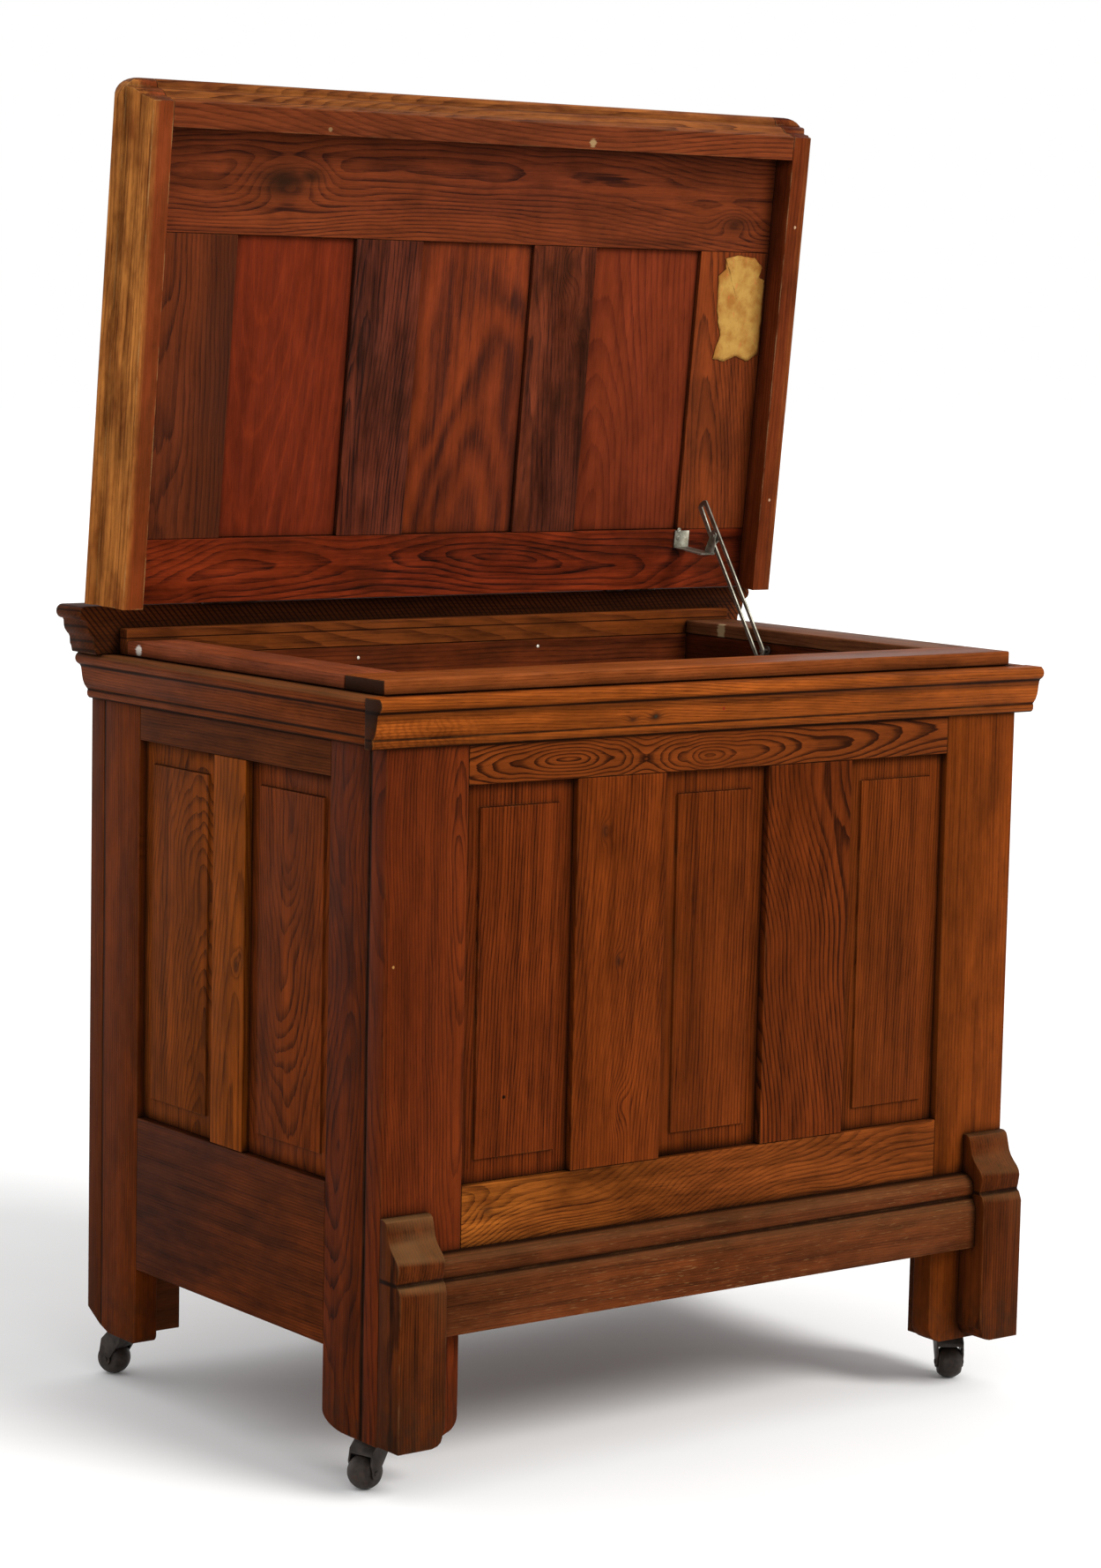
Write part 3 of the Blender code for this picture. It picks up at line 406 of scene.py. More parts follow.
def settle(ob, width, segments=2, angle=0.6):
    """Round the arrises of a solid and shade it smoothly."""
    together, flat = 2e-6, math.radians(0.4)
    bm = bmesh.new()
    bm.from_mesh(ob.data)
    bmesh.ops.remove_doubles(bm, verts=bm.verts, dist=together)
    bmesh.ops.dissolve_limit(bm, angle_limit=flat, verts=bm.verts, edges=bm.edges)
    bmesh.ops.recalc_face_normals(bm, faces=bm.faces)
    bm.to_mesh(ob.data)
    bm.free()
    for poly in ob.data.polygons:
        poly.use_smooth = True
    if width > 0:
        mod = ob.modifiers.new("round", "BEVEL")
        mod.width = width
        mod.segments = segments
        mod.limit_method = "ANGLE"
        mod.angle_limit = angle
        mod.harden_normals = True
        mod.use_clamp_overlap = True
        apply(ob)


def fresh(name, bm, smooth=True):
    """An object from a finished bmesh."""
    bmesh.ops.recalc_face_normals(bm, faces=bm.faces)
    mesh = bpy.data.meshes.new(name)
    bm.to_mesh(mesh)
    bm.free()
    for poly in mesh.polygons:
        poly.use_smooth = smooth
    return show(name, mesh)


def block(name, low, high):
    """A plain box between two corners."""
    bm = bmesh.new()
    bmesh.ops.create_cube(bm, size=1.0)
    for vert in bm.verts:
        for i in range(3):
            vert.co[i] = high[i] if vert.co[i] > 0 else low[i]
    return fresh(name, bm)


def cut(ob, tool, operation):
    """Apply one Boolean to an object and remove its tool."""
    mod = ob.modifiers.new("cut", "BOOLEAN")
    mod.operation, mod.solver, mod.object = operation, "EXACT", tool
    apply(ob)
    bpy.data.objects.remove(tool, do_unlink=True)


def seat(ob, mat, body, replaced=()):
    """Give a piece its material and body, and hide the CAD nodes it stands in for."""
    ob.data.materials.clear()
    ob.data.materials.append(mat)
    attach(ob, body)
    if replaced:
        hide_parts(*replaced)
    return ob


def refine(node, mat, layout, width, segments=2, angle=0.6):
    """Stand a rounded, finished copy in for a CAD node."""
    ob = show("fine_" + node, bare(node))
    settle(ob, width, segments, angle)
    dress(ob, layout, BODY_OF[node] == "lid")
    return seat(ob, mat, BODY_OF[node], (node,))


# -------------------------------- boards
# painted shade: dark lines in the cornice's quirks and undercuts
CORNICE_QUIRK_SHADE = (("v", 0.8482, 0.0013), ("v", 0.819, 0.0011), ("v", 0.8092, 0.001))
BOARDS = {
    # front frame
    "stile_front_left": ("zxy", dict(
        light=(0.086, 0.0138, 0.0032), dark=(0.027, 0.0055, 0.002), spacing=0.0038, contrast=0.6,
        mid=((0.1, 0.108), (0.5, 0.098), (0.7, 0.093), (0.87, 0.097)),
        depth=((0.1, 0.03), (0.45, 0.016), (0.68, 0.0025), (0.74, 0.01), (0.87, 0.022)), wander=0.008,
        lines=(("w", 0.0295, 0.0022),), marks=((0.577, 0.012, None, 0.002, (0.3, 0.14, 0.04)),),
        foot=0.6, seed=1.3)),
    "stile_front_right": ("zxy", dict(
        light=(0.125, 0.0268, 0.0036), dark=(0.043, 0.0088, 0.0018), contrast=0.4, fibre=0.9,
        mottle=0.6, spacing=0.005, stain=0.12, foot=0.6, seed=2.7)),
    "rail_front_top": ("xzy", dict(
        light=(0.142, 0.0305, 0.005), dark=(0.02, 0.0044, 0.0012), spacing=0.0036, contrast=1.0,
        mid=((0.1, 0.782), (0.24, 0.7855), (0.435, 0.7805), (0.6, 0.786), (0.8, 0.796)),
        depth=((0.1, 0.022), (0.17, 0.014), (0.24, 0.002), (0.3, 0.014), (0.345, 0.024),
               (0.4, 0.012), (0.435, 0.0015), (0.48, 0.01), (0.6, 0.022), (0.8, 0.036)),
        wander=0.003, fibre=0.35, lines=(("v", 0.8087, 0.0016),), seed=3.1)),
    "rail_front_bottom": ("xzy", dict(
        light=(0.144, 0.035, 0.0062), dark=(0.036, 0.0085, 0.0022), spacing=0.0042, contrast=0.7,
        mid=((0.1, 0.3), (0.3, 0.36), (0.55, 0.4), (0.8, 0.38)),
        depth=((0.1, 0.02), (0.25, 0.045), (0.8, 0.14)), wander=0.016, mottle=0.9, fibre=0.9,
        knots=((0.17, 0.286, 0.06, 0.03, 0.0), (0.262, 0.3, 0.045, -0.022, 0.0),
               (0.14, 0.3, 0.007, 0.004, 0.7)),
        fade=("u", 0.16, 0.44, (0.25, 0.076, 0.01), 0.8), seed=4.9)),
    "muntin_front_1": ("zxy", dict(
        light=(0.12, 0.0228, 0.0031), dark=(0.033, 0.006, 0.0014), spacing=0.0044, contrast=0.65,
        mid=((0.33, 0.15), (0.77, 0.215)), depth=((0.33, 0.03), (0.77, 0.06)), fibre=1.0,
        knots=((0.705, 0.29, 0.007, 0.01, 0.6), (0.56, 0.312, 0.006, 0.008, 0.6),
               (0.398, 0.318, 0.014, 0.014, 0.0)), mottle=0.6, seed=5.3)),
    "muntin_front_2": ("zxy", dict(
        light=(0.093, 0.017, 0.0028), dark=(0.02, 0.0042, 0.0012), spacing=0.0058, contrast=0.85,
        mid=((0.33, 0.7), (0.55, 0.668), (0.77, 0.61)), depth=((0.33, 0.03), (0.77, 0.045)),
        wander=0.005, fibre=0.9, mottle=0.5, seed=6.1)),
    "panel_front_1": ("zxy", dict(
        light=(0.086, 0.0148, 0.0028), dark=(0.02, 0.0038, 0.0011), spacing=0.004, contrast=0.7,
        mid=((0.33, 0.02), (0.77, 0.04)), fibre=1.1,
        marks=((0.4213, 0.1643, None, 0.0026, (0.004, 0.002, 0.001)),), seed=7.3)),
    "panel_front_2": ("zxy", dict(
        light=(0.106, 0.0205, 0.003), dark=(0.027, 0.0052, 0.0014), spacing=0.0046, contrast=0.7,
        mid=((0.33, 0.3), (0.77, 0.31)), depth=((0.0, 0.04),), fibre=1.1, seed=8.9)),
    "panel_front_3": ("zxy", dict(
        light=(0.104, 0.0212, 0.0034), dark=(0.03, 0.0062, 0.0014), spacing=0.004, contrast=0.6,
        mid=((0.33, 0.45), (0.77, 0.47)), depth=((0.0, 0.04),), fibre=1.0, seed=9.7)),
    # base
    "base_board": ("xzy", dict(
        light=(0.082, 0.023, 0.0072), dark=(0.022, 0.0066, 0.0026), spacing=0.003, contrast=0.4,
        flecks=0.75, mid=((0.0, -0.2),), wear=0.5, dust=0.25, mottle=0.7, fibre=1.0,
        lines=(("v", 0.2358, 0.002), ("v", 0.2628, 0.0014)), seed=10.3)),
    "plinth_block_left": ("zxy", dict(
        light=(0.052, 0.012, 0.0026), dark=(0.013, 0.0034, 0.0012), spacing=0.0036, contrast=0.6, wear=0.7,
        worn=(0.2, 0.105, 0.045), mottle=0.7, dust=0.55, fibre=1.1, foot=0.8, stain=0.35,
        lines=(("u", 0.2412, 0.0016),), seed=11.9)),
    "plinth_block_right": ("zxy", dict(
        light=(0.064, 0.0142, 0.0029), dark=(0.016, 0.004, 0.0013), spacing=0.004, contrast=0.5, wear=0.5,
        mottle=0.7, dust=0.3, fibre=1.0, foot=0.8, stain=0.25,
        lines=(("u", 0.2412, 0.0016),), seed=12.1)),
    # cornice and coaming
    "cornice_front": ("xzy", dict(
        light=(0.26, 0.061, 0.008), dark=(0.056, 0.011, 0.002), spacing=0.0034, contrast=0.55,
        mid=((-0.02, 0.7), (0.92, 0.66)), depth=((0.0, 0.03),), wander=0.005, ripple=(0.15, 0.32),
        # the quirks' lines and two wide soft bands are painted shade under the moulding's steps
        lines=(("v", 0.8482, 0.0013), ("v", 0.8455, 0.0045, 0.45), ("v", 0.819, 0.0011),
               ("v", 0.8092, 0.001), ("v", 0.8125, 0.0026, 0.35)), ends=1.9, wear=0.6,
        worn=(0.36, 0.135, 0.035), mottle=0.6,
        knots=((0.316, 0.827, 0.0052, 0.004, 0.8), (0.347, 0.8292, 0.007, 0.005, 1.0)),
        marks=((0.3476, 0.8292, None, 0.0026, (0.03, 0.02, 0.012)),
               (0.4426, 0.834, None, 0.0022, (0.16, 0.014, 0.006))), seed=13.7)),
    "cornice_left": ("yzx", dict(
        light=(0.096, 0.0232, 0.0065), dark=(0.028, 0.007, 0.0028), contrast=0.45, mottle=0.6,
        lines=CORNICE_QUIRK_SHADE,
        worn=(0.17, 0.085, 0.035), wear=0.5, dust=0.35, seed=14.3)),
    "cornice_right": ("yzx", dict(
        light=(0.118, 0.0288, 0.005), dark=(0.037, 0.009, 0.0022), contrast=0.4,
        lines=CORNICE_QUIRK_SHADE, seed=15.1)),
    "coaming_front": ("xyz", dict(
        light=(0.21, 0.05, 0.0101), dark=(0.07, 0.0145, 0.003), contrast=0.4, wear=0.7,
        worn=(0.26, 0.13, 0.06), mottle=0.6, tinted=0.45, tint=(0.25, 0.07, 0.018), ends=1.9,
        stain=0.12, seed=16.9)),
    "coaming_left": ("yxz", dict(
        marks=((0.508, 0.001, 0.872, 0.008, (0.78, 0.7, 0.62)),),
        light=(0.215, 0.053, 0.02), dark=(0.07, 0.0165, 0.007), contrast=0.5, wear=0.5,
        worn=(0.24, 0.125, 0.066), mottle=0.6, stain=0.25, seed=17.3)),
    "coaming_right": ("yxz", dict(
        marks=((0.463, 0.828, None, 0.008, (0.36, 0.25, 0.13)),),
        light=(0.15, 0.056, 0.0235), dark=(0.05, 0.0145, 0.005), contrast=0.45, wear=0.6,
        worn=(0.28, 0.18, 0.105), mottle=0.6, seed=18.7)),
    "stop_board_rear": ("xzy", dict(
        light=(0.15, 0.037, 0.0075), dark=(0.042, 0.0105, 0.0033), contrast=0.6, spacing=0.005, mottle=0.7,
        mid=((0.0, 0.7),), depth=((0.0, 0.02), (0.9, 0.06)), wear=0.5,
        lines=(("v", 0.8835, 0.0006),), seed=19.9)),
    "rear_strip": ("xzy", dict(
        light=(0.05, 0.0145, 0.005), dark=(0.015, 0.005, 0.0022), contrast=0.35, saw=0.85,
        wear=0.6, worn=(0.19, 0.11, 0.05), ends=0.2, seed=20.3)),
    # left side
    "stile_left_front": ("zyx", dict(
        light=(0.064, 0.0098, 0.0016), dark=(0.011, 0.0026, 0.0011), spacing=0.0066, contrast=0.55,
        mid=((0.1, 0.062), (0.3, 0.085), (0.55, 0.06), (0.7, 0.088), (0.87, 0.06)),
        depth=((0.1, 0.05), (0.4, 0.01), (0.6, 0.034), (0.87, 0.01)), wander=0.016, mottle=0.6,
        lines=(("v", 0.03, 0.0028),), foot=0.7, stain=0.3, seed=21.7)),
    "stile_left_rear": ("zyx", dict(
        light=(0.086, 0.017, 0.0026), dark=(0.026, 0.0052, 0.0013), spacing=0.0046, contrast=0.45,
        mottle=0.7, lines=(("v", 0.58, 0.0026),), foot=0.7, stain=0.15,
        knots=((0.646, 0.496, 0.007, 0.01, 0.0),), seed=22.3)),
    "rail_left_top": ("yzx", dict(
        light=(0.05, 0.0145, 0.0048), dark=(0.0165, 0.0052, 0.0022), contrast=0.45, mottle=0.6,
        lines=(("v", 0.8087, 0.0016),), seed=23.9)),
    "rail_left_bottom": ("yzx", dict(
        light=(0.043, 0.01, 0.003), dark=(0.012, 0.0034, 0.0015), contrast=0.45, mottle=0.7,
        stain=0.25, seed=24.1)),
    "muntin_left": ("zyx", dict(
        light=(0.16, 0.037, 0.0036), dark=(0.044, 0.0098, 0.0014), spacing=0.006, contrast=0.55,
        mid=((0.33, 0.3), (0.77, 0.27)), depth=((0.33, 0.02), (0.77, 0.04)), wander=0.008, mottle=0.6,
        knots=((0.538, 0.29, 0.008, 0.012, 0.85), (0.55, 0.282, 0.005, 0.008, 0.7)), seed=25.7)),
    "panel_left_front": ("zyx", dict(
        light=(0.106, 0.0202, 0.0034), dark=(0.024, 0.0056, 0.0018), spacing=0.0056, contrast=0.58,
        mid=((0.33, 0.185), (0.55, 0.195), (0.77, 0.19)),
        depth=((0.33, 0.07), (0.55, 0.034), (0.72, 0.01), (0.77, 0.004)), wander=0.017, mottle=0.6,
        fibre=0.9, stain=0.18, seed=26.9)),
    "panel_left_rear": ("zyx", dict(
        light=(0.126, 0.029, 0.0038), dark=(0.027, 0.007, 0.0018), spacing=0.005, contrast=0.58,
        mid=((0.33, 0.375), (0.55, 0.366), (0.77, 0.38)),
        depth=((0.33, 0.01), (0.45, 0.024), (0.6, 0.05), (0.77, 0.085)), wander=0.018, mottle=0.6,
        fibre=0.9, stain=0.25, seed=27.3)),
    # right side
    "panel_right_front": ("zyx", dict(
        light=(0.0992, 0.0216, 0.0033), dark=(0.0298, 0.0072, 0.0022), spacing=0.0062, contrast=0.8,
        mid=((0.33, 0.19), (0.77, 0.18)), depth=((0.33, -0.884), (0.77, -0.82)), wander=0.012, seed=29.3)),
    "panel_right_rear": ("zyx", dict(
        light=(0.1054, 0.024, 0.0039), dark=(0.031, 0.0078, 0.0022), spacing=0.0064, contrast=0.8,
        mid=((0.33, 0.42), (0.77, 0.43)), depth=((0.33, -0.825), (0.77, -0.884)), wander=0.012, seed=30.7)),
    # back and bottom
    "stile_back_left": ("zxy", dict(
        light=(0.0744, 0.016, 0.0032), dark=(0.023, 0.0056, 0.002), contrast=0.5, foot=0.7, seed=31.1)),
    "stile_back_right": ("zxy", dict(
        light=(0.0744, 0.016, 0.0032), dark=(0.023, 0.0056, 0.002), contrast=0.5, foot=0.7, seed=32.9)),
    "bottom_board": ("xyz", dict(
        light=(0.0806, 0.026, 0.01), dark=(0.031, 0.0098, 0.0044), contrast=0.4, seed=33.7)),
    # moulded edge of the lid
    "lid_rim_left": ("yzx", dict(
        light=(0.145, 0.028, 0.0076), dark=(0.07, 0.019, 0.005), contrast=0.5, wear=0.9,
        worn=(0.36, 0.21, 0.08), mottle=0.6, stain=0.25, fibre=1.1, spacing=0.0046,
        fade=("w", -0.03, -0.02, (0.36, 0.136, 0.029), 0.95),
        seed=35.9)),
    "lid_rim_right": ("yzx", dict(
        light=(0.135, 0.026, 0.007), dark=(0.05, 0.0088, 0.003), contrast=0.45, wear=0.9,
        worn=(0.33, 0.19, 0.09), mottle=0.6, fade=("w", 0.932, 0.918, (0.2, 0.058, 0.013), 0.9),
        marks=((0.0843, 0.8647, 0.9166, 0.0022, (0.42, 0.26, 0.15)),
               (0.4303, 0.8647, 0.9167, 0.0026, (0.42, 0.25, 0.15)),
               (0.468, 0.8647, 0.9316, 0.003, (0.36, 0.2, 0.11))), seed=36.1)),
    "lid_rim_front": ("xzy", dict(
        light=(0.135, 0.03, 0.01), dark=(0.034, 0.008, 0.0038), contrast=0.6, spacing=0.006,
        mid=((0.0, 0.8), (0.5, 0.86), (0.9, 0.87)), depth=((0.0, 0.08), (0.6, 0.035), (0.9, 0.06)),
        fade=("w", -0.0305, -0.0262, (0.26, 0.084, 0.018), 0.95), wear=0.6, worn=(0.3, 0.15, 0.06),
        marks=((0.2075, 0.8647, -0.0053, 0.0034, (0.19, 0.105, 0.045)),
               (0.5866, 0.8647, -0.0069, 0.0062, (0.27, 0.165, 0.075))), seed=37.7)),
}

for node, (layout, look) in BOARDS.items():
    width = PANEL_ROUND if node.startswith("panel_") else BOARD_ROUND
    refine(node, wood("wood_" + node, **look), layout, width)


# -------------------------------- boards that one CAD node holds together
def carve(node, name, mat, layout, low, high):
    """Cut one board out of a node: the part of it between two corners."""
    ob = show(name, bare(node))
    cut(ob, block(name + "_tool", low, high), "INTERSECT")
    settle(ob, BOARD_ROUND)
    dress(ob, layout)
    return seat(ob, mat, BODY_OF[node])


def right_frame():
    """Two stiles, a muntin and two rails, laid out like the left side."""
    lo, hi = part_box("frame_right")
    front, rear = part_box("stile_left_front")[1].y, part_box("stile_left_rear")[0].y
    m0, m1 = (corner.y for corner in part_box("muntin_left"))
    low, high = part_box("rail_left_bottom")[1].z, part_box("rail_left_top")[0].z
    tones = dict(light=(0.1023, 0.023, 0.0037), dark=(0.029, 0.0068, 0.0016), mottle=0.6)
    past, gap = 0.01, 0.0002

    def board(tag, layout, y0, y1, z0, z1, seed, **more):
        mat = wood("wood_right_" + tag, seed=seed, **{**tones, **more})
        corners = (lo.x - past, y0, z0), (hi.x + past, y1, z1)
        return carve("frame_right", "right_" + tag, mat, layout, *corners)

    first = board("stile_front", "zyx", lo.y - past, front, 0.0, hi.z + past, 28.1, foot=0.6, contrast=0.6,
                  mid=((0.1, 0.02), (0.87, 0.09)), depth=((0.1, -0.86), (0.87, -0.84)),
                  lines=(("v", 0.03, 0.002),))
    board("stile_rear", "zyx", rear, hi.y + past, 0.0, hi.z + past, 28.9, foot=0.6,
          lines=(("v", 0.58, 0.002),))
    board("muntin", "zyx", m0, m1, low, high, 30.1, contrast=0.7, mid=((0.3, 0.3), (0.8, 0.33)),
          depth=((0.3, -0.86), (0.8, -0.83)))
    board("rail_top", "yzx", front + gap, rear - gap, high, hi.z + past, 30.9)
    board("rail_bottom", "yzx", front + gap, rear - gap, lo.z, low, 31.7, contrast=0.6,
          mid=((0.1, 0.2), (0.5, 0.28)), depth=((0.1, -0.87), (0.5, -0.8)))
    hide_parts("frame_right")


def throat():
    """The four boards that line the mouth of the chest."""
    lo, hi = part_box("throat_band")
    x0, x1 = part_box("coaming_left")[1].x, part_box("coaming_right")[0].x
    y0, y1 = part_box("coaming_front")[1].y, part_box("stop_board_rear")[0].y
    tones = dict(light=(0.08, 0.0165, 0.0062), dark=(0.023, 0.0052, 0.0024), contrast=0.55, mottle=0.6,
                 spacing=0.0052, stain=0.3)
    past, step, gap = 1.0, 0.0005, 0.0002           # the boards stand a hair inside the coaming

    def board(tag, layout, a, b, seed):
        mat = wood("wood_throat_" + tag, seed=seed, **tones)
        return carve("throat_band", "throat_" + tag, mat, layout, (*a, lo.z - 0.01), (*b, hi.z + 0.01))

    first = board("rear", "xzy", (lo.x - past, y1 - step), (hi.x + past, hi.y + past), 34.3)
    board("front", "xzy", (lo.x - past, lo.y - past), (hi.x + past, y0 + step), 34.9)
    board("left", "yzx", (lo.x - past, y0 + step + gap), (x0 + step, y1 - step - gap), 35.3)
    board("right", "yzx", (x1 - step, y0 + step + gap), (hi.x + past, y1 - step - gap), 36.7)
    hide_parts("throat_band")


right_frame()
throat()


# -------------------------------- lid underside: separate boards
def lid_board(tag, layout, x, y, base=0.0):
    """A board of the lid between two places along x and y, given where it lies when the lid is shut."""
    ob = block("lid_" + tag, (x[0], y[0], f_lo.z + base), (x[1], y[1], f_hi.z))
    ob.data.transform(TO_OPEN_LID)
    settle(ob, 0.001)
    dress(ob, layout, True)
    return seat(ob, mats[tag], "lid")


def closed_box(node):
    """Corners of a lid node in case coordinates, with the lid shut."""
    co = [CLOSE @ v.co for v in NODES[node].data.vertices]
    lo = Vector([min(c[i] for c in co) for i in range(3)]) - ORIGIN
    hi = Vector([max(c[i] for c in co) for i in range(3)]) - ORIGIN
    return lo, hi


f_lo, f_hi = closed_box("lid_frame")
bays = [closed_box("lid_panel_%d" % i) for i in (1, 2, 3)]
GAP, SEAM = 0.0003, 0.00015                        # round the panels, and where rail and stile meet
rear, front = bays[0][1].y + GAP, bays[0][0].y - GAP
# lid boards: a little less painted shade in corners, less wear, a little glossier
RED = dict(corner_shade=0.85, wear=0.15, rough=0.4)
# red inside, and on top stained like the case
OUTER = dict(fade=("w", 0.914, 0.904, (0.15, 0.04, 0.008), 0.9), **RED)
LID_LOOKS = {
    "rail_rear": dict(
        light=(0.086, 0.0105, 0.0036), dark=(0.014, 0.0036, 0.0024), spacing=0.0064, contrast=0.66,
        mid=((0.0, 0.535), (0.13, 0.505), (0.45, 0.5), (0.7, 0.512), (0.9, 0.5)),
        depth=((0.0, -0.868), (0.15, -0.878), (0.33, -0.872), (0.52, -0.8935), (0.66, -0.876),
               (0.9, -0.858)),
        tint=(0.22, 0.029, 0.006), tinted=0.75, wander=0.012, stain=0.4, mottle=0.9,
        seed=41.1, **OUTER),
    "rail_front": dict(
        light=(0.134, 0.026, 0.009), dark=(0.026, 0.007, 0.0045), spacing=0.0042, contrast=0.75,
        mid=((0.0, 0.05), (0.3, 0.035), (0.6, 0.04), (0.9, 0.07)), depth=((0.0, -0.86),),
        knots=((0.168, 0.057, 0.028, 0.022, 1.0), (0.205, 0.05, 0.016, 0.01, 0.9),
               (0.845, 0.085, 0.016, 0.018, 0.6)),
        tint=(0.21, 0.046, 0.01), tinted=0.5, stain=0.3, wander=0.01, seed=42.3, **OUTER),
    "stile_left": dict(
        light=(0.081, 0.0187, 0.0077), dark=(0.019, 0.0065, 0.0042), spacing=0.0046, contrast=0.5,
        mid=((0.1, 0.01), (0.5, 0.03)), depth=((0.1, -0.855), (0.5, -0.835)), wander=0.01,
        fade=("v", 0.085, 0.06, (0.035, 0.011, 0.006), 0.75), tinted=0.3, seed=43.7, **RED),
    "stile_right": dict(
        light=(0.165, 0.033, 0.009), dark=(0.038, 0.009, 0.004), spacing=0.005, contrast=0.6,
        mid=((0.1, 0.8), (0.5, 0.84)), depth=((0.1, -0.86), (0.5, -0.875)),
        stain=0.35, tinted=0.4, seed=44.9, **OUTER),
    "muntin_1": dict(
        light=(0.072, 0.0173, 0.0091), dark=(0.014, 0.0055, 0.0045), spacing=0.0042, contrast=0.65,
        mid=((0.1, 0.3), (0.5, 0.27)), depth=((0.1, -0.865), (0.5, -0.88)), wander=0.008,
        fibre=1.5, stain=0.5, tinted=0.55, tint=(0.17, 0.028, 0.009), mottle=0.9,
        seed=45.1, **OUTER),
    "muntin_2": dict(
        light=(0.088, 0.02, 0.01), dark=(0.017, 0.006, 0.0045), spacing=0.0045, contrast=0.6,
        mid=((0.1, 0.53), (0.5, 0.55)), depth=((0.1, -0.86), (0.5, -0.87)), wander=0.01, fibre=1.0,
        knots=((0.142, 0.585, 0.018, 0.02, 0.55), (0.215, 0.61, 0.01, 0.012, 0.5)),
        stain=0.6, tinted=0.6, tint=(0.2, 0.038, 0.01), mottle=0.9, seed=46.3, **OUTER),
    "panel_1": dict(
        light=(0.15, 0.02, 0.006), dark=(0.07, 0.011, 0.005), spacing=0.0105, contrast=0.6,
        mid=((0.1, 0.16), (0.5, 0.148)), depth=((0.1, -0.88), (0.5, -0.835)), wander=0.005,
        stops=PALE, fibre=0.75, tint=(0.19, 0.025, 0.006), mottle=0.4, seed=47.7, **OUTER),
    "panel_2": dict(
        light=(0.14, 0.024, 0.008), dark=(0.04, 0.01, 0.006), spacing=0.024, contrast=0.62,
        mid=((0.1, 0.455), (0.3, 0.49), (0.5, 0.46)),
        depth=((0.1, -0.79), (0.3, -0.83), (0.5, -0.875)),
        wander=0.03, stops=SOFT, tint=(0.215, 0.038, 0.008), tinted=0.6, mottle=0.5, fibre=0.9,
        stain=0.2, seed=48.9, **OUTER),
    "panel_3": dict(
        light=(0.15, 0.025, 0.008), dark=(0.068, 0.011, 0.005), spacing=0.0075, contrast=0.6,
        mid=((0.1, 0.645), (0.5, 0.655)), depth=((0.1, -0.83), (0.5, -0.878)), fibre=0.6,
        tint=(0.19, 0.029, 0.007), mottle=0.45, seed=49.1, **OUTER),
}
mats = {tag: wood("lid_" + tag, **look) for tag, look in LID_LOOKS.items()}
between = (front + SEAM, rear - SEAM)
first = lid_board("rail_rear", "xyz", (f_lo.x, f_hi.x), (rear, f_hi.y))
lid_board("rail_front", "xyz", (f_lo.x, f_hi.x), (f_lo.y, front))
lid_board("stile_left", "yxz", (f_lo.x, bays[0][0].x - GAP), between)
lid_board("stile_right", "yxz", (bays[2][1].x + GAP, f_hi.x), between)
for i in (1, 2):
    lid_board("muntin_%d" % i, "yxz", (bays[i - 1][1].x + GAP, bays[i][0].x - GAP), between, 0.0004)
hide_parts("lid_frame")
for i in (1, 2, 3):
    refine("lid_panel_%d" % i, mats["panel_%d" % i], "yxz", 0.0005)


# -------------------------------- back boards
def back_planks():
    """Upright planks stand in for the back board."""
    lo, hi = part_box("back_board")
    planks, gap = 5, 0.0002
    width = (hi.x - lo.x) / planks
    for i in range(planks):
        ob = block("back_plank_%d" % (i + 1), (lo.x + width * i + gap, lo.y, lo.z),
                   (lo.x + width * (i + 1) - gap, hi.y, hi.z))
        settle(ob, 0.0022)
        dress(ob, "zxy")
        mat = wood("wood_back_%d" % (i + 1), light=(0.0868, 0.0205, 0.0042), dark=(0.028, 0.007, 0.0024),
                   spacing=0.0065, contrast=0.7, mottle=0.5, seed=51.0 + 2.3 * i,
                   mid=((0.15, 0.16 + 0.14 * i), (0.86, 0.19 + 0.14 * i)),
                   depth=((0.15, -0.56 - 0.01 * i), (0.86, -0.52)))
        seat(ob, mat, "case", ("back_board",) if i == 0 else ())


back_planks()

# -------------------------------- metal parts
zinc = metal("zinc_sheet", (0.42, 0.43, 0.42), (0.24, 0.25, 0.25), 0.5, 0.85, (0.3, 0.28, 0.24), 0.35, 0.25)
steel = metal("hinge_steel", (0.16, 0.14, 0.12), (0.06, 0.045, 0.035), 0.48, 0.9, (0.1, 0.035, 0.015), 0.5)
nickel = metal("dull_nickel", (0.34, 0.33, 0.27), (0.17, 0.16, 0.12), 0.42, 0.9, (0.12, 0.075, 0.03), 0.35)
bright = metal("nail_heads", (0.8, 0.74, 0.62), (0.62, 0.54, 0.42), 0.55, 0.3)
iron = metal("dark_iron", (0.04, 0.03, 0.024), (0.016, 0.012, 0.01), 0.5, 0.55, (0.06, 0.024, 0.012), 0.35)
refine("liner_tub", zinc, "xyz", 0.0)
refine("drain_tube", zinc, "xyz", 0.0)
for node in ("hinge_1_fixed_leaf", "hinge_2_fixed_leaf", "hinge_1_lid_leaf", "hinge_2_lid_leaf"):
    refine(node, steel, "xyz", 0.0002, 1, 0.9)
refine("stay_wall_pin", steel, "xyz", 0.0003, 1, 0.9)
arm = refine("stay_arm", nickel, "xyz", 0.0003, 2, 0.7)
refine("stay_bracket", nickel, "xyz", 0.0002, 1, 0.9)
pivot = Vector(JOINTS["stay_pivot"]["pos_m"])
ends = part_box("stay_wall_pin")
along = (ends[0] + ends[1]) / 2 - pivot
along.x = 0.0
reach = along.length
along.normalize()
across = Vector((0.0, -along.z, along.y))
PIVOT_EYE, SWELL, TIP_SWELL, TIP = 0.0035, 0.6, 0.4, 0.3
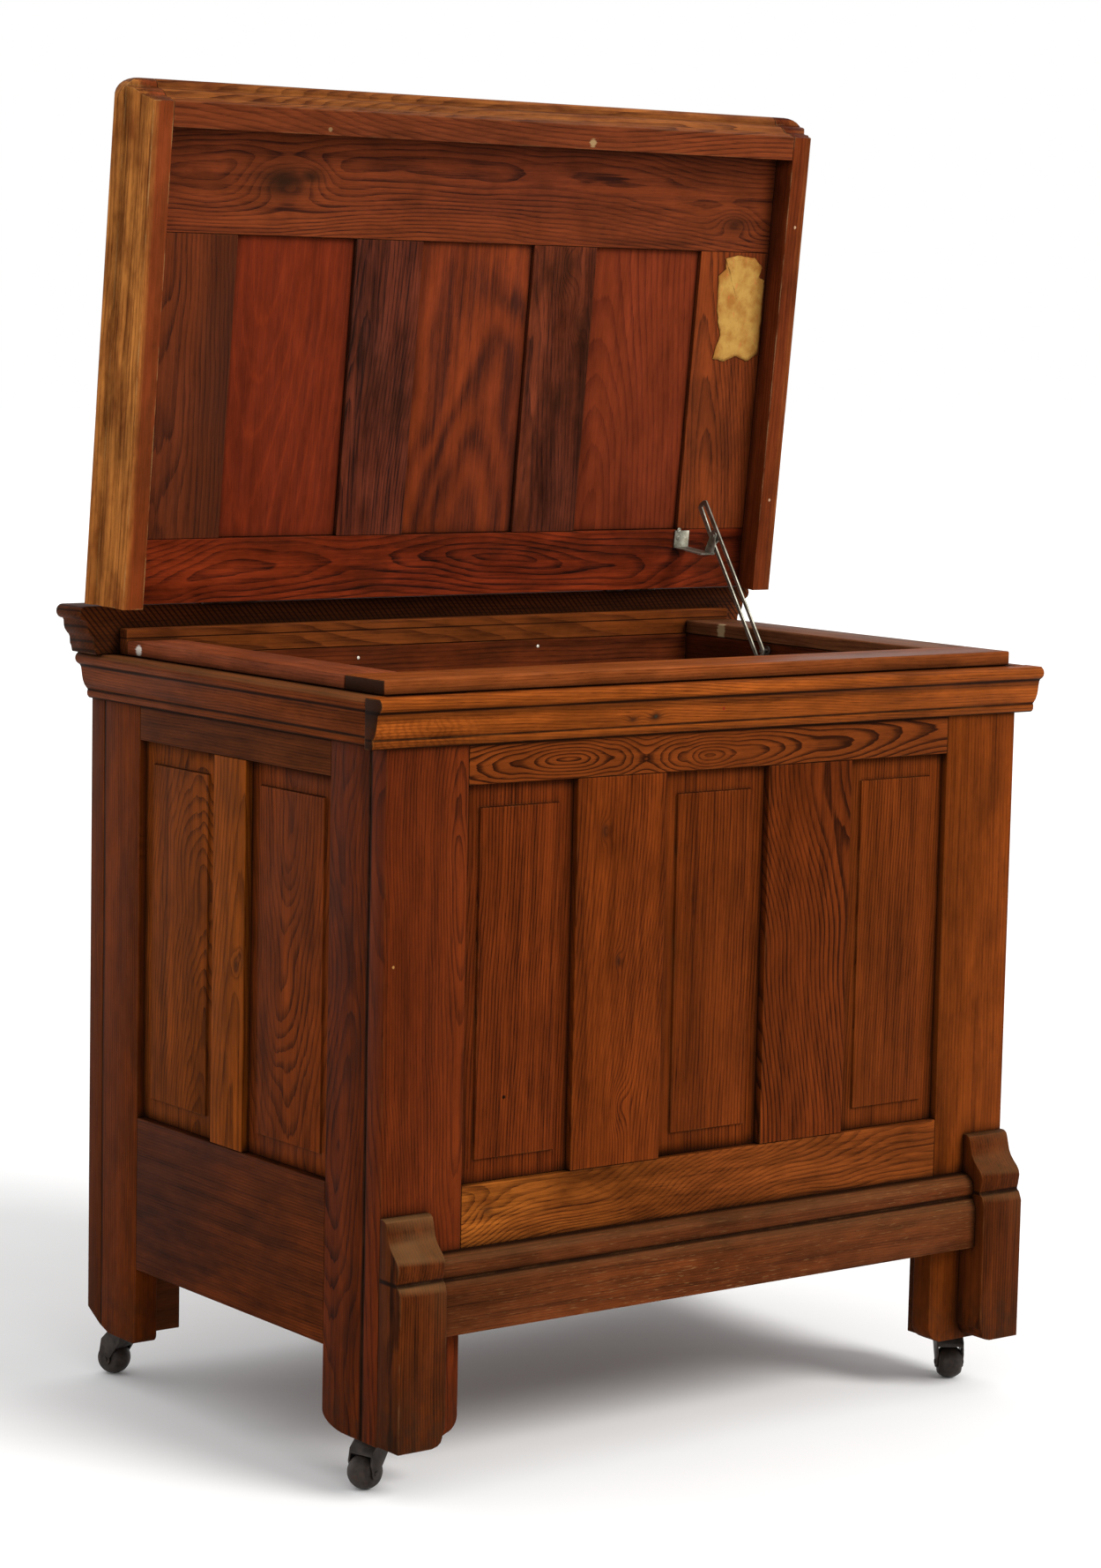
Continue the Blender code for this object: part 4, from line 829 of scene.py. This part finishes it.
for vert in arm.data.vertices:               # the slotted blade swells towards its upper end
    off = vert.co - pivot
    share = off.dot(along) / reach
    if math.hypot(off.y, off.z) > PIVOT_EYE:
        swell = SWELL * (1.0 - share) if share > 0 else SWELL + TIP_SWELL * min(1.0, -share / TIP)
        vert.co += across * off.dot(across) * swell
for node in BODY_OF:
    if node.startswith("caster_"):
        refine(node, iron, "xyz", 0.0004 if "fork" in node else 0.0, 2, 0.7)


# -------------------------------- small fixings
def fixing(radius, rise, slotted):
    """A domed nail or screw head standing on the z axis."""
    profile = [(0.55, rise * 0.92), (0.85, rise * 0.62), (1.0, 0.0), (0.9, -0.0003)]
    sides = 18
    turns = [math.tau * i / sides for i in range(sides)]
    bm = bmesh.new()
    rings = [[bm.verts.new((0, 0, rise))]]
    for share, z in profile:
        wide = radius * share
        rings.append([bm.verts.new((wide * math.cos(t), wide * math.sin(t), z)) for t in turns])
    for i in range(sides):
        j = (i + 1) % sides
        bm.faces.new((rings[0][0], rings[1][i], rings[1][j]))
        for upper, lower in zip(rings[1:], rings[2:]):
            bm.faces.new((upper[i], lower[i], lower[j], upper[j]))
    bm.faces.new(rings[-1])
    head = fresh("head", bm)
    if slotted:
        bm = bmesh.new()
        bmesh.ops.create_cube(bm, size=1.0)
        bmesh.ops.scale(bm, vec=(radius * 3, radius * 0.26, 0.001), verts=bm.verts)
        bmesh.ops.translate(bm, vec=(0, 0, rise + 0.0001), verts=bm.verts)
        cut(head, fresh("slot", bm), "DIFFERENCE")
    mesh = head.data
    bpy.data.objects.remove(head, do_unlink=True)
    return mesh


def drive(name, head, place, facing, spin, mat, body):
    """Put one head on a surface; place and facing are in case coordinates, shut ones for the lid."""
    mesh = head.copy()
    turn = Vector(facing).to_track_quat("Z", "Y").to_matrix().to_4x4() @ Matrix.Rotation(spin, 4, "Z")
    spot = Matrix.Translation(Vector(place) + ORIGIN) @ turn
    mesh.transform((OPEN if body == "lid" else Matrix()) @ spot)
    ob = show(name, mesh)
    dress(ob, "xyz")
    seat(ob, mat, body)


def fixings():
    """Nails in the throat, screws in the hinge leaves and in the stay's bracket."""
    screw = fixing(radius=0.0031, rise=0.0006, slotted=True)
    nail = fixing(radius=0.0022, rise=0.0007, slotted=False)
    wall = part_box("stop_board_rear")[0].y - ORIGIN.y
    for i, (x, z) in enumerate(((0.324, 0.85), (0.593, 0.855))):
        drive("throat_nail_%d" % (i + 1), nail, (x, wall, z), (0, -1, 0), 0.0,
              bright, "case")
    # along each leaf from its middle, and in from its edge
    holes = ((-0.026, 0.011), (0.0, 0.018), (0.026, 0.011))
    # leaf, body, turn to shut, side of its edge, number of its first screw, turn of the slots
    leaves = (("fixed", "case", Matrix(), 1, 1, 0.7, 1.0), ("lid", "lid", CLOSE, -1, 4, 0.2, 1.3))
    for i in (1, 2):
        xs = [(v.co - ORIGIN).x for v in NODES["hinge_%d_fixed_leaf" % i].data.vertices]
        mid = (min(xs) + max(xs)) / 2
        for leaf, body, shut, way, number, spin, turn in leaves:
            co = [shut @ v.co - ORIGIN for v in NODES["hinge_%d_%s_leaf" % (i, leaf)].data.vertices]
            edge = way * max(way * p.y for p in co)
            top = max(p.z for p in co if way * (edge - p.y) < 0.0001)
            for k, (dx, dy) in enumerate(holes):
                drive("hinge_%d_screw_%d" % (i, k + number), screw, (mid + dx, edge - way * dy, top),
                      (0, 0, 1), spin + k * turn + i, steel, body)
    lo = closed_box("stay_bracket")[0]
    under = f_lo.z - 0.002
    for k, dy in enumerate((0.006, 0.016)):
        drive("bracket_screw_%d" % (k + 1), screw, (lo.x + 0.006, lo.y + dy, under), (0, 0, -1), 0.5 + k,
              nickel, "lid")


fixings()


# -------------------------------- label
def paper():
    """Blank yellowed paper, darker at its torn rim."""
    s = Shader("aged_paper")
    p = s.attribute("grain", True)
    cloud = s.noise(p, (45.0, 45.0, 45.0), 4.0, 0.6, 3.0)
    speck = s.noise(p, (420.0, 420.0, 420.0), 3.0, 0.6, 5.0)
    colour = s.mix(s.ramp(cloud, [(0.35, 0.0), (0.7, 1.0)]), (0.42, 0.235, 0.052), (0.29, 0.115, 0.018))
    spots = s.mul(s.ramp(speck, [(0.55, 0.0), (0.75, 1.0)]), 0.45)
    colour = s.mix(spots, colour, (0.22, 0.1, 0.02))
    uneven = s.ramp(s.noise(p, (160.0,) * 3, 3.0, 0.6, 9.0), [(0.35, 0.2), (0.65, 1.0)])
    ragged = s.mul(s.attribute("rim"), uneven)
    colour = s.mix(s.mul(ragged, 0.8), colour, (0.24, 0.085, 0.012))
    smudge = s.ramp(s.noise(p, (60.0, 130.0, 60.0), 3.0, 0.7, 12.0), [(0.58, 0.0), (0.7, 1.0)])
    colour = s.mix(s.mul(smudge, 0.45), colour, (0.5, 0.1, 0.03))
    s.bump(cloud, 0.4, 0.0006)
    return s.finish(colour, 0.85, 0.0, 0.15)


def label():
    """Torn paper label pasted inside the lid, gently wrinkled."""
    lo, hi = closed_box("lid_label")
    outline = [CLOSE @ v.co - ORIGIN for v in NODES["lid_label"].data.vertices]
    centre = (lo + hi) / 2
    around = sorted({(round(p.x, 5), round(p.y, 5)) for p in outline},
                    key=lambda q: math.atan2(q[1] - centre.y, q[0] - centre.x))
    ring = []
    steps = 5
    for a, b in zip(around, around[1:] + around[:1]):
        for k in range(steps):
            t = k / steps
            x, y = a[0] + (b[0] - a[0]) * t, a[1] + (b[1] - a[1]) * t
            wob = noise.noise(Vector((x * 160, y * 160, 3.3))) * 0.0016 if k else 0.0
            ring.append((x + wob, y - wob))
    bm = bmesh.new()
    rim_layer = bm.verts.layers.float.new("rim")
    rows = []
    face, thick = hi.z - 0.00055, 0.00035
    for share in (1.0, 0.93, 0.8, 0.6, 0.4, 0.2):
        row = []
        for x, y in ring:
            px, py = centre.x + (x - centre.x) * share, centre.y + (y - centre.y) * share
            lift = noise.noise(Vector((px * 60, py * 60, 1.0))) * 0.00028
            vert = bm.verts.new((px, py, face + lift * (0.3 if share == 1.0 else 1.0)))
            vert[rim_layer] = 1.0 if share == 1.0 else (0.45 if share == 0.93 else 0.0)
            row.append(vert)
        rows.append(row)
    middle = bm.verts.new((centre.x, centre.y, face))
    count = len(ring)
    for upper, lower in zip(rows, rows[1:]):
        for i in range(count):
            j = (i + 1) % count
            bm.faces.new((upper[i], upper[j], lower[j], lower[i]))
    for i in range(count):
        bm.faces.new((rows[-1][i], rows[-1][(i + 1) % count], middle))
    back = {v: bm.verts.new(v.co + Vector((0, 0, thick))) for v in list(bm.verts)}
    for side in list(bm.faces):
        bm.faces.new([back[v] for v in reversed(side.verts)])
    for i in range(count):
        j = (i + 1) % count
        bm.faces.new((rows[0][j], rows[0][i], back[rows[0][i]], back[rows[0][j]]))
    ob = fresh("paper_label", bm)
    ob.data.transform(TO_OPEN_LID)
    dress(ob, "yxz", True)
    seat(ob, paper(), "lid", ("lid_label",))


label()


# -------------------------------- floor, light, camera
EYE = Vector((-2.29955, -3.33734, 1.25706))        # in case coordinates
HEADING, TILT, ROLL = (math.radians(angle) for angle in (-36.99, 6.775, 1.2044))
SENSOR = 36.0                                      # mm, over the picture's height
FOCAL = 4421.33 / 1778.0                           # in picture heights


def floor_and_light():
    """Pale paper floor, even white surroundings and one soft light."""
    bm = bmesh.new()
    bmesh.ops.create_grid(bm, x_segments=1, y_segments=1, size=40.0)
    floor = fresh("studio_floor", bm, False)
    floor.location.z = -0.0002
    s = Shader("studio_paper")
    coord = s.add("ShaderNodeTexCoord").outputs["Object"]
    grey = s.noise(coord, (3.0, 3.0, 3.0), 2.0, 0.5, 1.0)
    tone = s.ramp(grey, [(0.2, (0.86, 0.86, 0.86)), (0.8, (0.89, 0.89, 0.89))])
    floor.data.materials.append(s.finish(tone, 0.9, 0.0, 0.0))

    world = bpy.data.worlds.new("studio")
    world.use_nodes = True
    background = world.node_tree.nodes["Background"].inputs
    background["Color"].default_value = (1.0, 1.0, 1.0, 1.0)
    background["Strength"].default_value = 1.0
    bpy.context.scene.world = world

    sun = bpy.data.lights.new("key", "SUN")
    sun.energy = 2.4
    sun.angle = math.radians(25.0)
    sun.color = (1.0, 0.99, 0.97)
    key = show("key", sun)
    key.rotation_euler = Vector((-0.3, 0.7, -0.62)).to_track_quat("-Z", "Y").to_euler()


def camera():
    """A long lens at the front left corner, a little above the case."""
    level = math.cos(TILT)
    ahead = Vector((-math.sin(HEADING) * level, math.cos(HEADING) * level, -math.sin(TILT)))
    side = ahead.cross(Vector((0, 0, 1))).normalized()
    up = side.cross(ahead)
    right = side * math.cos(ROLL) + up * math.sin(ROLL)
    above = up * math.cos(ROLL) - side * math.sin(ROLL)
    data = bpy.data.cameras.new("camera")
    data.sensor_width = SENSOR
    data.lens = FOCAL * SENSOR
    data.clip_start, data.clip_end = 0.1, 100.0
    cam = show("camera", data)
    place = EYE + ORIGIN
    cam.matrix_world = Matrix(((right.x, above.x, -ahead.x, place.x), (right.y, above.y, -ahead.y, place.y),
                               (right.z, above.z, -ahead.z, place.z), (0, 0, 0, 1)))
    bpy.context.scene.camera = cam
    bpy.context.scene.view_settings.view_transform = "Standard"


floor_and_light()
camera()
